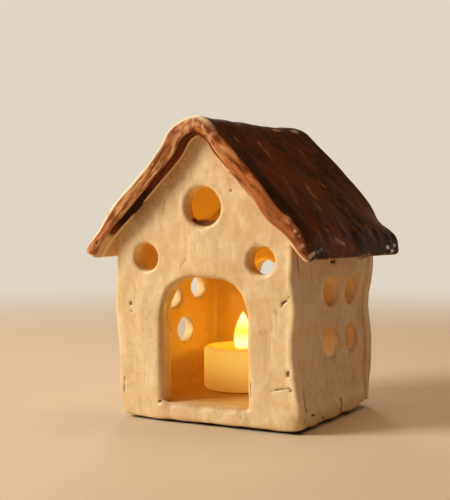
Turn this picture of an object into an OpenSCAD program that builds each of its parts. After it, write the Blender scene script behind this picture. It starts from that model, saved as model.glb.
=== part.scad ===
// A slab-built clay house lantern with a battery tealight standing inside it.
// The origin is on the table under the middle of the floor slab. The door faces -Y and +Z is up.
// Every clay slab is its own piece, laid face to face with its neighbours as the maker joins them.

/* [House] */
// Width of the house at the floor
house_w = 88; // [80:1:104]
// Depth of the house over its front and back slabs
house_d = 84; // [80:1:110]
// Thickness of the wall slabs
wall_t = 8.5; // [7:0.5:9.5]
// Thickness of the floor slab, which is also the height of the door's sill
floor_t = 9; // [7:0.5:12]
// Radius of the coils of clay pressed into the inside corners
coil_r = 4; // [2:0.5:4.5]

/* [Roof] */
// Height of the inner ridge line above the table
ridge_h = 129.2; // [124:0.2:150]
// How far the ridge stands to the left of the floor's middle
ridge_shift = 2; // [0:0.5:4]
// Slope of the left half of the roof, in degrees
pitch_left = 45; // [42:0.5:48]
// Slope of the right half of the roof, in degrees
pitch_right = 46; // [42:0.5:48]
// Thickness of the roof slab
roof_t = 8.3; // [6.5:0.1:9.5]
// How far the left eave reaches past the left wall's widest edge
left_overhang = 7.1; // [4:0.1:12]
// How far the right eave reaches past the right wall's widest edge, at its front end
right_overhang = 7.8; // [5:0.1:12]
// How far the roof reaches past the front wall
front_overhang = 7.5; // [4:0.5:12]
// How far the roof reaches past the back wall
back_overhang = 14; // [4:0.5:18]

/* [Door and windows] */
// Width of the arched door
door_w = 45; // [42:0.5:48]
// Height of the door's opening above the sill
door_h = 59; // [52:0.5:64]
// Diameter of the round gable window
gable_window_d = 18.4; // [12:0.2:22]
// Diameter of the two small windows beside it
small_window_d = 12.4; // [8:0.2:14]
// Diameter of the windows in the right wall and the back wall
right_window_d = 12.8; // [8:0.2:14]
// Diameter of the windows in the left wall
left_window_d = 12; // [8:0.2:14]
// Slant of the left wall's windows: how far they turn to the back on their way out, in degrees
left_window_slant = 30; // [0:1:35]

/* [Tealight] */
// Diameter of the tealight's case
tealight_d = 38; // [37:0.5:39]
// Height of the case without its flame
tealight_h = 20.5; // [19:0.5:24]
// Height of the flame above the case's dished deck
flame_h = 18.4; // [14:0.2:22]
// Largest diameter of the flame
flame_d = 9.2; // [8:0.2:10]
// Wall thickness of the moulded case
case_t = 1.2; // [0.8:0.1:1.4]
// Gap between the tealight and the left wall
tealight_gap_left = 9.7; // [7:0.1:14]
// Gap between the tealight and the back wall
tealight_gap_back = 3.9; // [3.5:0.1:9]
// Diameter of the coin cell
cell_d = 20; // [19.5:0.1:20.5]
// Thickness of the coin cell
cell_h = 3.2; // [2.5:0.1:3.6]
// Travel of the switch between on and off
switch_travel = 2.6; // [2:0.1:3]

/* [Hidden] */
$fn = 64;

// How far every cut runs past the faces that it opens
overrun = 1;
// Gap between moulded pieces that fit in one another
fit_gap = 0.1;
// Gap between pieces that move past each other
run_gap = 0.3;

// Clay edges: rounding of the slabs' outer corners, of the holes' rims and of the table edge
corner_round = 4;
rim_round = 1;
door_rim_round = 1.6;
foot_round = 2.4;
roof_edge_round = 2.4;
// Steps in one quarter of a rounded edge
round_steps = 4;
// How far the side walls' faces lie inside the front and back slabs' edges
seam_step = 0.7;
// Width of the roof's seat along the top of a side wall
seat_w = 1.2;

// The maker's walls wander: each row is a share of the wall's height, and how far the edge lies
// outside the floor's edge there, as a share of the wall's thickness.
front_left_share = [[0, 0.26], [0.11, 0.36], [0.36, 0.4], [0.59, 0.57], [0.82, 0.5], [1, 0.46]];
front_right_share = [[0, 0.06], [0.08, -0.1], [0.25, -0.32], [0.43, -0.39], [0.53, -0.28], [0.65, -0.24],
                     [0.76, -0.41], [0.87, -0.34], [1, -0.3]];
back_left_share = [[0, 0.2], [0.2, 0.27], [0.5, 0.2], [0.8, 0.34], [1, 0.34]];
back_right_share = [[0, 0.14], [0.3, 0.2], [0.56, 0.02], [0.83, 0.34], [1, 0.26]];
// Levels at which a wall's edge gets a point
wall_levels = 14;

// Ridge and eaves
ridge_x = -ridge_shift;
// Inner radius of the slab's bend over the ridge
bend_r = 2.8;
// How far the left eave sags below its slope, and the length over which it sags
eave_sag = 3;
sag_run = 14;
// How much further the right eave reaches at its back end
eave_flare = 0.8;
// How far the right eave's upper edge is cut back from its lower one, at its front and back ends
eave_cut_front = 3.6;
eave_cut_back = 1.5;
// Roundings of the eaves' lower edges, and of the left and right eaves' upper ones
eave_low_round = 1.6;
eave_left_round = 2.5;
eave_right_round = 18;
slope_steps = 8;
bend_steps = 8;

// Height of the roof's underside at a place left or right of the floor's middle
function under(x) = ridge_h - abs(x - ridge_x) * tan(x < ridge_x ? pitch_left : pitch_right);
// Height of the walls' upper outer corners
eave_x = house_w / 2;
wall_h = min(under(-eave_x), under(eave_x)) - floor_t;

// A smooth way from 0 to 1, and a smooth curve through a table of rows
function eased(t) = (1 - cos(180 * t)) / 2;
function mix(a, b, t) = a + (b - a) * t;
function row_below(table, s, i = 0) = i >= len(table) - 2 || s < table[i + 1][0] ? i : row_below(table, s, i + 1);
function along(table, s) =
    let (i = row_below(table, s), a = table[i], b = table[i + 1])
    mix(a[1], b[1], eased(max(0, min(1, (s - a[0]) / (b[0] - a[0])))));

// Distance of a wall's outer edge from the floor's middle at a share of its height
function front_edge(side, s) = eave_x + wall_t * along(side < 0 ? front_left_share : front_right_share, s);
function back_edge(side, s) = eave_x + wall_t * along(side < 0 ? back_left_share : back_right_share, s);
// The outer face of a side wall runs from the front slab's edge to the back slab's
function side_face(side, s, t) = mix(front_edge(side, s), back_edge(side, s), eased(t)) - seam_step;

// Inner faces of the four walls: the left one stands further out and the right one further in than even
left_out = 2.5;
right_in = 1;
inner_left = -eave_x + wall_t - left_out;
inner_right = eave_x - wall_t - right_in;
inner_front = -house_d / 2 + wall_t;
inner_back = house_d / 2 - wall_t;
front_y = -house_d / 2;
back_y = house_d / 2;

// Points moved inwards from a counter-clockwise outline
function unit(v) = v / norm(v);
function inward(p, q) = let (d = unit(q - p)) [-d.y, d.x];
function inset_point(a, p, b, r) =
    let (n = inward(a, p), m = inward(p, b))
    p + r * (n + m) / (1 + n * m);
function inset(points, r) =
    let (n = len(points))
    [for (i = [0:n - 1]) inset_point(points[(i + n - 1) % n], points[i], points[(i + 1) % n], r)];
// A rounded corner of such an outline, coming from one point and going to another
corner_steps = 4;
function corner_arc(from, corner, to, r) =
    let (u = unit(from - corner), v = unit(to - corner), half = acos(u * v) / 2,
         centre = corner + unit(u + v) * r / sin(half), out = -inward(from, corner), a = atan2(out.y, out.x))
    [for (i = [0:corner_steps]) let (b = a + (180 - 2 * half) * i / corner_steps) centre + r * [cos(b), sin(b)]];

// Outlines drawn in width and height, stood up at a place along Y
function stood(points, y) = [for (p = points) [p.x, y, p.y]];
function laid(points, z) = [for (p = points) [p.x, p.y, z]];

// A solid through rings of equally many points, each ring counter-clockwise seen from the first one's side.
// Its ends are ladders of triangles between the first half of the ring and the second.
function rung(n, i) =
    i + 1 == n - 2 - i ? [[i, i + 1, n - 1 - i]] : [[i, i + 1, n - 2 - i], [i, n - 2 - i, n - 1 - i]];
function ladder(n) = [for (i = [0:floor((n - 1) / 2) - 1]) each rung(n, i)];
module loft(rings) {
    n = len(rings[0]);
    last = (len(rings) - 1) * n;
    polyhedron(
        points = [for (ring = rings) for (p = ring) p],
        faces = concat(
            [for (f = ladder(n)) [f[2], f[1], f[0]]],
            [for (k = [0:len(rings) - 2]) for (i = [0:n - 1])
                let (a = k * n + i, b = k * n + (i + 1) % n) each [[a, b, b + n], [a, b + n, a + n]]],
            [for (f = ladder(n)) [f[0] + last, f[1] + last, f[2] + last]]));
}

// Depth and inset of each ring of a rounded edge, from the flat face to the full outline
function edge_rings(depth, width) =
    [for (i = [0:round_steps]) let (a = 90 * i / round_steps) [depth * (1 - cos(a)), width * (1 - sin(a))]];

// Floor slab: its plan follows the walls' feet, with softly rounded corners and table edge
plan_round = 5;
plan_steps = 5;
function plan_corner(x, y, from) =
    [for (i = [0:plan_steps]) let (a = from + 90 * i / plan_steps)
        [x + plan_round * cos(a), y + plan_round * sin(a)]];
plan_left_front = -front_edge(-1, 0);
plan_left_back = -back_edge(-1, 0);
plan_right_front = front_edge(1, 0);
plan_right_back = back_edge(1, 0);
// How far each side of the floor slab bows out between its corners
plan_bow = 0.3;
function floor_plan() = concat(
    plan_corner(plan_left_front + plan_round, front_y + plan_round, 180),
    [[ridge_x, front_y - plan_bow / 4]],
    plan_corner(plan_right_front - plan_round, front_y + plan_round, 270),
    [[max(plan_right_front, plan_right_back) + plan_bow, 0]],
    plan_corner(plan_right_back - plan_round, back_y - plan_round, 0),
    [[ridge_x, back_y + plan_bow]],
    plan_corner(plan_left_back + plan_round, back_y - plan_round, 90),
    [[min(plan_left_front, plan_left_back) - plan_bow, 0]]);

module floor_slab() {
    color("#e3cfa4")
    loft(concat(
        [laid(floor_plan(), floor_t)],
        [for (i = [round_steps:-1:0]) let (e = edge_rings(foot_round, foot_round)[i])
            laid(inset(floor_plan(), e[1]), e[0])]));
}

// Gable walls: the outline seen from the front, counter-clockwise from the lower left corner
function bend_half() = 90 - (pitch_left + pitch_right) / 2;
function bend_centre() =
    let (down = unit([cos(pitch_right) - cos(pitch_left), -sin(pitch_left) - sin(pitch_right)]))
    [ridge_x, ridge_h] + down * bend_r / sin(bend_half());
function bend_arc(r) =
    [for (i = [0:bend_steps]) let (a = mix(90 - pitch_right, 90 + pitch_left, i / bend_steps))
        bend_centre() + r * [cos(a), sin(a)]];
function wall_level(s) = floor_t + wall_h * s;
function eave_corner(x) = [x, under(x)];
// The upright edges are rounded and move in; the rakes stay, since the roof lies on them
function gable_outline(left, right, move_in) = concat(
    [for (i = [0:wall_levels - 1]) [right[i] - move_in, wall_level(i / wall_levels)]],
    [eave_corner(right[wall_levels] - move_in)],
    bend_arc(bend_r),
    [eave_corner(left[wall_levels] + move_in)],
    [for (i = [wall_levels - 1:-1:0]) [left[i] + move_in, wall_level(i / wall_levels)]]);
function front_outline(move_in) = gable_outline(
    [for (i = [0:wall_levels]) -front_edge(-1, i / wall_levels)],
    [for (i = [0:wall_levels]) front_edge(1, i / wall_levels)], move_in);
function back_outline(move_in) = gable_outline(
    [for (i = [0:wall_levels]) -back_edge(-1, i / wall_levels)],
    [for (i = [0:wall_levels]) back_edge(1, i / wall_levels)], move_in);

// A round hole through a slab along +Y from its first face, with both rims eased
module round_hole(d, t, rim) {
    rotate([-90, 0, 0]) {
        translate([0, 0, -overrun])
            cylinder(h = t + 2 * overrun, d = d);
        translate([0, 0, -overrun])
            cylinder(h = rim + overrun, r1 = d / 2 + rim + overrun, r2 = d / 2);
        translate([0, 0, t - rim])
            cylinder(h = rim + overrun, r1 = d / 2, r2 = d / 2 + rim + overrun);
    }
}

// Door: straight jambs under a half-round arch
door_x = -1.4;
door_r = door_w / 2;
door_spring = floor_t + door_h - door_r;
module door_jambs(half, y1, y2) {
    translate([door_x - half, y1, floor_t])
        cube([2 * half, y2 - y1, door_spring - floor_t]);
}
module door_jamb_rim() {
    translate([door_x, front_y, floor_t])
        linear_extrude(door_spring - floor_t)
            polygon([[-door_r - door_rim_round - overrun, -overrun], [door_r + door_rim_round + overrun, -overrun],
                     [door_r, door_rim_round], [-door_r, door_rim_round]]);
}
module door_cut() {
    door_jambs(door_r, front_y - overrun, inner_front + overrun);
    door_jamb_rim();
    translate([door_x, front_y, door_spring])
        rotate([-90, 0, 0]) {
            translate([0, 0, -overrun])
                cylinder(h = wall_t + 2 * overrun, r = door_r);
            translate([0, 0, -overrun])
                cylinder(h = door_rim_round + overrun, r1 = door_r + door_rim_round + overrun, r2 = door_r);
        }
}

// Windows of the gable walls: places across, as shares of half the width, and up, as shares of the ridge
gable_window_share = [-0.015, 0.753];
small_left_share = [-0.69, 0.576];
small_right_share = [0.64, 0.571];
back_window_share = [-0.152, 0.495];
module gable_window(share, d, y) {
    translate([ridge_x + share[0] * eave_x, y, share[1] * ridge_h])
        round_hole(d, wall_t, rim_round);
}

module front_wall() {
    color("#ecd9ae")
    difference() {
        loft(concat(
            [for (e = edge_rings(corner_round, corner_round)) stood(front_outline(e[1]), front_y + e[0])],
            [stood(front_outline(0), inner_front)]));
        door_cut();
        gable_window(gable_window_share, gable_window_d, front_y);
        gable_window(small_left_share, small_window_d, front_y);
        gable_window(small_right_share, small_window_d, front_y);
    }
}

module back_wall() {
    color("#ead6aa")
    difference() {
        loft(concat(
            [stood(back_outline(0), inner_back)],
            [for (i = [round_steps:-1:0]) let (e = edge_rings(corner_round, corner_round)[i])
                stood(back_outline(e[1]), back_y - e[0])]));
        gable_window(back_window_share, right_window_d, inner_back);
    }
}

// Side walls stand between the front and back slabs: the roof rests on the outer edge of their square tops
side_rings = 8;
function side_section(side, t) =
    let (inner = side < 0 ? inner_left : inner_right,
         top = side_face(side, 1, t),
         seat = under(side * (top - seat_w)))
    concat(
        [for (i = [0:wall_levels - 1]) [side * side_face(side, i / wall_levels, t), wall_level(i / wall_levels)]],
        [eave_corner(side * top), [side * (top - seat_w), seat], [inner, seat]],
        [for (i = [wall_levels - 1:-1:0]) [inner, wall_level(i / wall_levels)]]);
function side_ring(side, t) =
    let (points = side_section(side, t), n = len(points))
    stood(side > 0 ? points : [for (i = [n - 1:-1:0]) points[i]], mix(inner_front, inner_back, t));

// Windows of the side walls, as shares of the depth behind the middle and of the wall's height
right_window_share = [[-0.041, 0.682], [0.196, 0.679], [-0.026, 0.362], [0.208, 0.375]];
left_window_share = [[-0.071, 0.62], [0.209, 0.659], [-0.2, 0.393], [0.058, 0.384]];
module side_window(side, share, d, slant) {
    y = share[0] * house_d;
    t = (y - inner_front) / (inner_back - inner_front);
    inner = abs(side < 0 ? inner_left : inner_right);
    depth = (side_face(side, share[1], t) - inner) / cos(slant);
    reach = d / 2 * tan(slant);
    translate([side * inner, y, wall_level(share[1])])
        rotate([0, 0, -side * (90 - slant)])
            translate([0, -reach, 0])
                round_hole(d, depth + 2 * reach, rim_round);
}
module side_wall(side, shares, d, slant) {
    color(side < 0 ? "#e8d3a6" : "#e6d1a3")
    difference() {
        loft([for (i = [0:side_rings]) side_ring(side, i / side_rings)]);
        for (share = shares)
            side_window(side, share, d, slant);
    }
}
module left_wall() side_wall(-1, left_window_share, left_window_d, left_window_slant);
module right_wall() side_wall(1, right_window_share, right_window_d, 0);

// Roof: one slab bent over the ridge, its profile seen from the front
seat_left = -max(front_edge(-1, 1), back_edge(-1, 1));
tip_left = seat_left - left_overhang;
tip_right = max(front_edge(1, 1), back_edge(1, 1)) + right_overhang;
// The slab's underside lies flat on the walls, so it sags only outside the left wall's widest edge
function sag(x, from, run) = eave_sag * pow(max(0, (from - x) / run), 2);
function roof_in(x) = [x, under(x) - sag(x, seat_left, left_overhang)];
function roof_out(x) = [x, under(x) + roof_t / cos(x < ridge_x ? pitch_left : pitch_right)
                           - sag(x, tip_left + sag_run, sag_run)];
function bend_in(i) = bend_arc(bend_r)[i];
function bend_out(i) = bend_arc(bend_r + roof_t)[i];
// The underside from the left eave to the seat, and from there straight to the bend
seat_steps = 2;
function slope_in(to) = concat(
    [for (i = [1:seat_steps]) roof_in(mix(tip_left, seat_left, i / seat_steps))],
    [for (i = [1:slope_steps - seat_steps]) roof_in(mix(seat_left, to, i / (slope_steps - seat_steps)))]);
function slope_out(from, to) = [for (i = [1:slope_steps]) roof_out(mix(from, to, i / slope_steps))];
low_left = roof_in(tip_left);
high_left = roof_out(tip_left - roof_t * sin(pitch_left));
// The outline starts half way up the left end, so that its first half lies under its second
function roof_outline(flare, cut_back) =
    let (run = (tip_right - tip_left) / slope_steps / 2, end = tip_right + flare,
         low_right = roof_in(end), high_right = roof_out(end - cut_back))
    concat(
        corner_arc(high_left, low_left, roof_in(tip_left + run), eave_low_round),
        slope_in(bend_in(bend_steps).x),
        [for (i = [bend_steps - 1:-1:0]) bend_in(i)],
        [for (i = [slope_steps - 1:-1:1]) roof_in(mix(end, bend_in(0).x, i / slope_steps))],
        corner_arc(roof_in(end - run), low_right, high_right, eave_low_round),
        corner_arc(low_right, high_right, roof_out(high_right.x - run), eave_right_round),
        slope_out(high_right.x, bend_out(0).x),
        [for (i = [1:bend_steps]) bend_out(i)],
        [for (i = [slope_steps - 1:-1:1]) roof_out(mix(high_left.x, bend_out(bend_steps).x, i / slope_steps))],
        corner_arc(roof_out(high_left.x + run), high_left, low_left, eave_left_round));

module roof_slab() {
    rings = [for (e = edge_rings(roof_edge_round, eave_low_round - fit_gap))
        [e[0], inset(roof_outline(0, eave_cut_front), e[1]),
         inset(roof_outline(eave_flare, eave_cut_back), e[1])]];
    color("#4a2414")
    loft(concat(
        [for (ring = rings) stood(ring[1], front_y - front_overhang + ring[0])],
        [for (i = [round_steps:-1:0]) stood(rings[i][2], back_y + back_overhang - rings[i][0])]));
}

// Coils of clay pressed into the inside corners, hollowed by the fingertip that smears them
module coil_section() {
    polygon(concat([[0, 0]], [for (i = [0:round_steps]) let (a = 90 * i / round_steps)
        coil_r * [1 - sin(a), 1 - cos(a)]]));
}
// The corner coils end below the small windows
coil_top_share = 0.74;
module corner_coil(x, y, turn) {
    translate([x, y, floor_t])
        rotate([0, 0, turn])
            linear_extrude(coil_top_share * wall_h)
                coil_section();
}
module corner_coils() {
    color("#e0c896") {
        corner_coil(inner_left, inner_front, 0);
        corner_coil(inner_right, inner_front, 90);
        corner_coil(inner_right, inner_back, 180);
        corner_coil(inner_left, inner_back, 270);
    }
}
// A coil along the floor: it starts at a corner of the inside and runs along the wall on its right hand
module floor_coil(x, y, turn, length) {
    translate([x, y, floor_t])
        rotate([0, 0, turn])
            rotate([90, 0, 90])
                linear_extrude(length)
                    coil_section();
}
module floor_coils() {
    run_x = inner_right - inner_left - 2 * coil_r;
    run_y = inner_back - inner_front - 2 * coil_r;
    jamb_gap = door_rim_round + coil_r;
    left_stub = door_x - door_r - jamb_gap - inner_left;
    right_stub = inner_right - door_x - door_r - jamb_gap;
    color("#dfc694") {
        floor_coil(inner_right, inner_front + coil_r, 90, run_y);
        floor_coil(inner_right - coil_r, inner_back, 180, run_x);
        floor_coil(inner_left, inner_back - coil_r, 270, run_y);
        floor_coil(inner_left + coil_r, inner_front, 0, left_stub);
        floor_coil(inner_right - coil_r - right_stub, inner_front, 0, right_stub);
    }
}

// The tealight stands on the floor: its pieces are drawn round its own axis, from its foot up
case_r = tealight_d / 2;
tealight_x = inner_left + tealight_gap_left + case_r;
tealight_y = inner_back - tealight_gap_back - case_r;
module at_tealight() {
    translate([tealight_x, tealight_y, floor_t])
        children();
}
// Rounding of the case's rim and foot, depth of its dished deck, and the foot ring that holds the base
case_rim_r = 1.9;
rim_turn = 130;
case_foot_r = 2.2;
dish_depth = 1.7;
dish_slope_w = 2.6;
foot_ring_h = 2.6;
foot_ring_t = 2.8;
deck_z = tealight_h - dish_depth;
deck_under = deck_z - case_t;
// The flame stands on a low rise in the deck
rise_h = 0.7;
rise_w = 2.4;
// Neck of the flame where it passes the deck
neck_share = 0.74;
neck_r = flame_d / 2 * neck_share;
arc_steps = 6;
function arc(c, r, from, to) =
    [for (i = [0:arc_steps]) let (a = mix(from, to, i / arc_steps)) c + r * [cos(a), sin(a)]];
base_r = case_r - foot_ring_t - fit_gap;
// The base plate lies a little above the table, so that the case's foot carries the light
base_z = 0.6;
base_t = 1.4;
base_top = base_z + base_t;
// Ribs inside the case that the base plate seats against
rib_t = 1;
rib_angles = [35, 120, 240, 325];

module tealight_case() {
    hole_r = neck_r + fit_gap;
    shoulder = case_r - 2 * case_rim_r;
    inner_r = case_r - case_t;
    color("#f4ead2")
    at_tealight() {
        rotate_extrude()
            polygon(concat(
                arc([case_r - case_foot_r, case_foot_r], case_foot_r, -90, 0),
                arc([case_r - case_rim_r, tealight_h - case_rim_r], case_rim_r, 0, rim_turn),
                [[shoulder - dish_slope_w, deck_z], [hole_r + rise_w, deck_z], [hole_r, deck_z + rise_h],
                 [hole_r, deck_under], [shoulder, deck_under],
                 [inner_r, deck_under - case_rim_r - case_t], [inner_r, foot_ring_h],
                 [case_r - foot_ring_t, foot_ring_h], [case_r - foot_ring_t, 0]]));
        for (a = rib_angles)
            rotate([0, 0, a])
                translate([base_r - case_t, -rib_t / 2, base_top])
                    cube([case_r - case_t / 2 - base_r + case_t, rib_t, tealight_h / 2]);
    }
}

// Soft moulded flame: a flange under the deck, a neck through it, and a hollow for the bulb
led_r = 2.5;
led_flange_r = 2.9;
led_flange_h = 1;
led_h = 8.6;
lens_flange_r = 5.4;
lens_flange_h = 1.4;
lens_skirt_h = 1.6;
lens_skirt_r = 4.2;
lens_bottom = deck_under - lens_flange_h - lens_skirt_h;
// Each row: share of the flame's height above the deck, and share of its largest radius
flame_share = [[0.06, 0.86], [0.14, 0.95], [0.26, 1], [0.38, 0.97], [0.5, 0.89], [0.62, 0.76], [0.74, 0.59],
               [0.85, 0.39], [0.93, 0.22], [0.98, 0.09], [1, 0]];
module flame_lens() {
    bore_r = led_r + fit_gap;
    bore_top = lens_bottom + led_h - led_flange_h - led_r;
    color("#ffe9a8")
    at_tealight()
        rotate_extrude()
            polygon(concat(
                [[bore_r, lens_bottom], [lens_skirt_r, lens_bottom], [lens_skirt_r, deck_under - lens_flange_h],
                 [lens_flange_r, deck_under - lens_flange_h], [lens_flange_r, deck_under],
                 [neck_r, deck_under], [neck_r, deck_z + rise_h]],
                [for (row = flame_share) [row[1] * flame_d / 2, deck_z + row[0] * flame_h]],
                arc([0, bore_top], bore_r, 90, 0)));
}

module led_bulb() {
    color("#fff6d8")
    at_tealight()
        translate([0, 0, lens_bottom - led_flange_h])
            rotate_extrude()
                polygon(concat(
                    [[0, 0], [led_flange_r, 0], [led_flange_r, led_flange_h], [led_r, led_flange_h]],
                    arc([0, led_h - led_r], led_r, 0, 90)));
}

// Battery well in the base plate, beside the switch
well_x = -2.4;
cell_r = cell_d / 2;
cover_t = 1.2;
cover_r = cell_r + 1;
mouth_r = cover_r + run_gap;
lug_t = 0.85;
lug_lift = 0.15;
lug_r = mouth_r + 1.1;
lug_w = 4.2;
// Turn of the cover from locked to free
cover_turn = 35;
groove_r = lug_r + run_gap;
groove_top = base_top + lug_lift + lug_t + run_gap;
well_r = groove_r + 0.8;
cell_z = base_z + cover_t;
well_top = cell_z + cell_h + 1;
// Place and size of the slide switch
switch_x = 13.3;
switch_w = 4;
switch_l = 8.6;
switch_h = 3.6;
switch_wall = 0.55;
stem_w = 1.6;
stem_l = 2.2;
slot_w = stem_w + 2 * run_gap;
slot_l = stem_l + switch_travel + 2 * run_gap;

module base_plate() {
    color("#f1efe8")
    at_tealight()
        difference() {
            union() {
                translate([0, 0, base_z])
                    cylinder(h = base_t, r = base_r);
                translate([well_x, 0, 0])
                    rotate_extrude()
                        polygon([[groove_r, base_z], [well_r, base_z], [well_r, well_top],
                                 [cell_r + run_gap, well_top], [cell_r + run_gap, groove_top],
                                 [groove_r, groove_top]]);
            }
            translate([well_x, 0, base_z - overrun])
                cylinder(h = base_t + 2 * overrun, r = mouth_r);
            // Notches that let the cover's lugs in
            intersection() {
                translate([well_x, 0, base_z - overrun])
                    cylinder(h = base_t + 2 * overrun, r = groove_r);
                translate([well_x, 0, base_z + base_t / 2])
                    rotate([0, 0, cover_turn])
                        cube([4 * well_r, lug_w + 4 * run_gap, base_t + 2 * overrun], center = true);
            }
            // Room for the side contact
            translate([well_x - tab_w / 2 - run_gap, 0, groove_top])
                cube([tab_w + 2 * run_gap, cell_r + 2 * run_gap + tab_t, well_top]);
            // Slot for the switch's knob
            translate([switch_x - slot_w / 2, -slot_l / 2, base_z - overrun])
                cube([slot_w, slot_l, base_t + 2 * overrun]);
        }
}

// Width of the cell's crimped edge
cell_edge = 1.1;
module coin_cell() {
    cap_r = cell_r - cell_edge;
    cap_h = cell_h / 8;
    seal_r = cell_r - cell_edge / 2;
    color("silver")
    at_tealight()
        translate([well_x, 0, cell_z])
            rotate_extrude()
                polygon([[0, 0], [seal_r, 0], [cell_r, cell_edge / 2], [cell_r, cell_h - cap_h],
                         [cap_r, cell_h - cap_h], [cap_r, cell_h], [0, cell_h]]);
}

// Contacts: a leaf on the cell's cap, and a tab against its side
leaf_t = 0.3;
leaf_w = 4;
leaf_free_x = 3.5;
tab_t = 0.3;
tab_w = 4;
tab_foot = 3;
module contact_spring() {
    cap_z = cell_z + cell_h;
    bend_x = -cell_r + leaf_t;
    color("#d9c27a")
    at_tealight()
        translate([well_x, leaf_w / 2, 0])
            rotate([90, 0, 0])
                linear_extrude(leaf_w)
                    polygon([[-groove_r, well_top], [bend_x, well_top], [-leaf_w, cap_z], [leaf_free_x, cap_z],
                             [leaf_free_x, cap_z + leaf_t], [-leaf_w, cap_z + leaf_t],
                             [bend_x, well_top + leaf_t], [-groove_r, well_top + leaf_t]]);
}
module contact_tab() {
    tab_y = cell_r + tab_t / 6;
    color("#d9c27a")
    at_tealight()
        translate([well_x - tab_w / 2, 0, 0]) {
            translate([0, tab_y, cell_z + cell_h / 2])
                cube([tab_w, tab_t, well_top + tab_t - cell_z - cell_h / 2]);
            translate([0, tab_y, well_top])
                cube([tab_w, tab_foot, tab_t]);
        }
}

// Wires: square-drawn legs of the bulb and a jumper, as runs between points
wire_t = 0.5;
leg_gap = 1.27;
leg_z = well_top + 1.6;
pin_top = base_top + switch_h + 0.8;
pin_pitch = 2.2;
module wire(points) {
    for (i = [0:len(points) - 2]) {
        a = points[i];
        b = points[i + 1];
        low = [min(a.x, b.x), min(a.y, b.y), min(a.z, b.z)];
        translate(low - [wire_t, wire_t, 0] / 2)
            cube([abs(a.x - b.x) + wire_t, abs(a.y - b.y) + wire_t, max(abs(a.z - b.z), wire_t)]);
    }
}
module led_legs() {
    led_z = lens_bottom - led_flange_h;
    cap_z = cell_z + cell_h + leaf_t;
    color("#c9ccd0")
    at_tealight() {
        wire([[-leg_gap, 0, led_z], [-leg_gap, 0, cap_z]]);
        wire([[leg_gap, 0, led_z], [leg_gap, 0, leg_z], [switch_x, 0, leg_z]]);
        wire([[switch_x, 0, leg_z], [switch_x, 0, pin_top]]);
    }
}
// Where the jumper crosses, as a share of the case's radius
jumper_share = 0.37;
module jumper_wire() {
    side_y = case_r * jumper_share;
    foot_x = well_x + tab_w / 4;
    foot_y = cell_r + tab_foot / 2;
    color("#b8322a")
    at_tealight() {
        wire([[switch_x, pin_pitch, pin_top], [switch_x, pin_pitch, leg_z], [switch_x, side_y, leg_z]]);
        wire([[switch_x, side_y, leg_z], [foot_x, side_y, leg_z], [foot_x, foot_y, leg_z]]);
        wire([[foot_x, foot_y, leg_z + wire_t], [foot_x, foot_y, well_top + tab_t]]);
    }
}

// Slide switch: case, pins, and the knob with its bridging wiper, drawn in the on position
module switch_case() {
    inner_w = switch_w - 2 * switch_wall;
    inner_l = switch_l - 2 * switch_wall;
    color("#9aa0a6")
    at_tealight()
        translate([switch_x, 0, base_top])
            difference() {
                translate([-switch_w / 2, -switch_l / 2, 0])
                    cube([switch_w, switch_l, switch_h]);
                translate([-inner_w / 2, -inner_l / 2, -overrun])
                    cube([inner_w, inner_l, switch_h - switch_wall + overrun]);
                for (i = [-1:1])
                    translate([-wire_t / 2, i * pin_pitch - wire_t / 2, 0])
                        cube([wire_t, wire_t, switch_h + overrun]);
            }
}
pin_reach = 0.8;
module switch_pins() {
    pin_z = base_top + switch_h - switch_wall - pin_reach;
    color("#d9c27a")
    at_tealight()
        for (i = [-1:1])
            translate([switch_x - wire_t / 2, i * pin_pitch - wire_t / 2, pin_z])
                cube([wire_t, wire_t, pin_top - pin_z]);
}
slider_t = 0.7;
slider_w = 2.2;
slider_l = 4;
slider_z = base_top + run_gap;
module switch_knob() {
    knob_z = run_gap + fit_gap;
    groove_l = stem_l / 5;
    color("#2b2b2b")
    at_tealight()
        translate([switch_x, switch_travel / 2, 0])
            difference() {
                union() {
                    translate([-stem_w / 2, -stem_l / 2, knob_z])
                        cube([stem_w, stem_l, slider_z - knob_z]);
                    translate([-slider_w / 2, -slider_l / 2, slider_z])
                        cube([slider_w, slider_l, slider_t]);
                }
                // Thumbnail grooves across the knob
                for (i = [-1:1])
                    translate([-stem_w, i * 1.5 * groove_l - groove_l / 2, 0])
                        cube([2 * stem_w, groove_l, knob_z + groove_l]);
            }
}
module switch_wiper() {
    wiper_w = slider_w / 2;
    wiper_z = slider_z + slider_t;
    wiper_t = base_top + switch_h - switch_wall - pin_reach - run_gap - wiper_z;
    color("#d9c27a")
    at_tealight()
        translate([switch_x - wiper_w / 2, switch_travel / 2 - slider_l / 2, wiper_z])
            cube([wiper_w, slider_l, wiper_t]);
}

// Battery cover: a coin turns it, and two lugs hold it behind the base plate
coin_slot_l = 14;
coin_slot_w = 1.8;
module battery_cover() {
    lug_root = cell_r + run_gap + fit_gap;
    lug_z = base_top + lug_lift;
    color("#e9e6dd")
    at_tealight()
        translate([well_x, 0, 0])
            difference() {
                union() {
                    translate([0, 0, base_z])
                        cylinder(h = cover_t, r = cover_r);
                    intersection() {
                        difference() {
                            translate([0, 0, cell_z])
                                cylinder(h = lug_z + lug_t - cell_z, r = lug_r);
                            translate([0, 0, cell_z - overrun])
                                cylinder(h = lug_z + lug_t, r = lug_root);
                        }
                        union() {
                            translate([-2 * lug_r, -lug_w / 2, lug_z])
                                cube([4 * lug_r, lug_w, lug_t]);
                            intersection() {
                                translate([-2 * lug_r, -lug_w / 2, 0])
                                    cube([4 * lug_r, lug_w, lug_z + lug_t]);
                                cylinder(h = lug_z + lug_t, r = cover_r);
                            }
                        }
                    }
                }
                translate([-coin_slot_l / 2, -coin_slot_w / 2, base_z - overrun])
                    cube([coin_slot_l, coin_slot_w, overrun + cover_t / 2]);
            }
}

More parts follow.
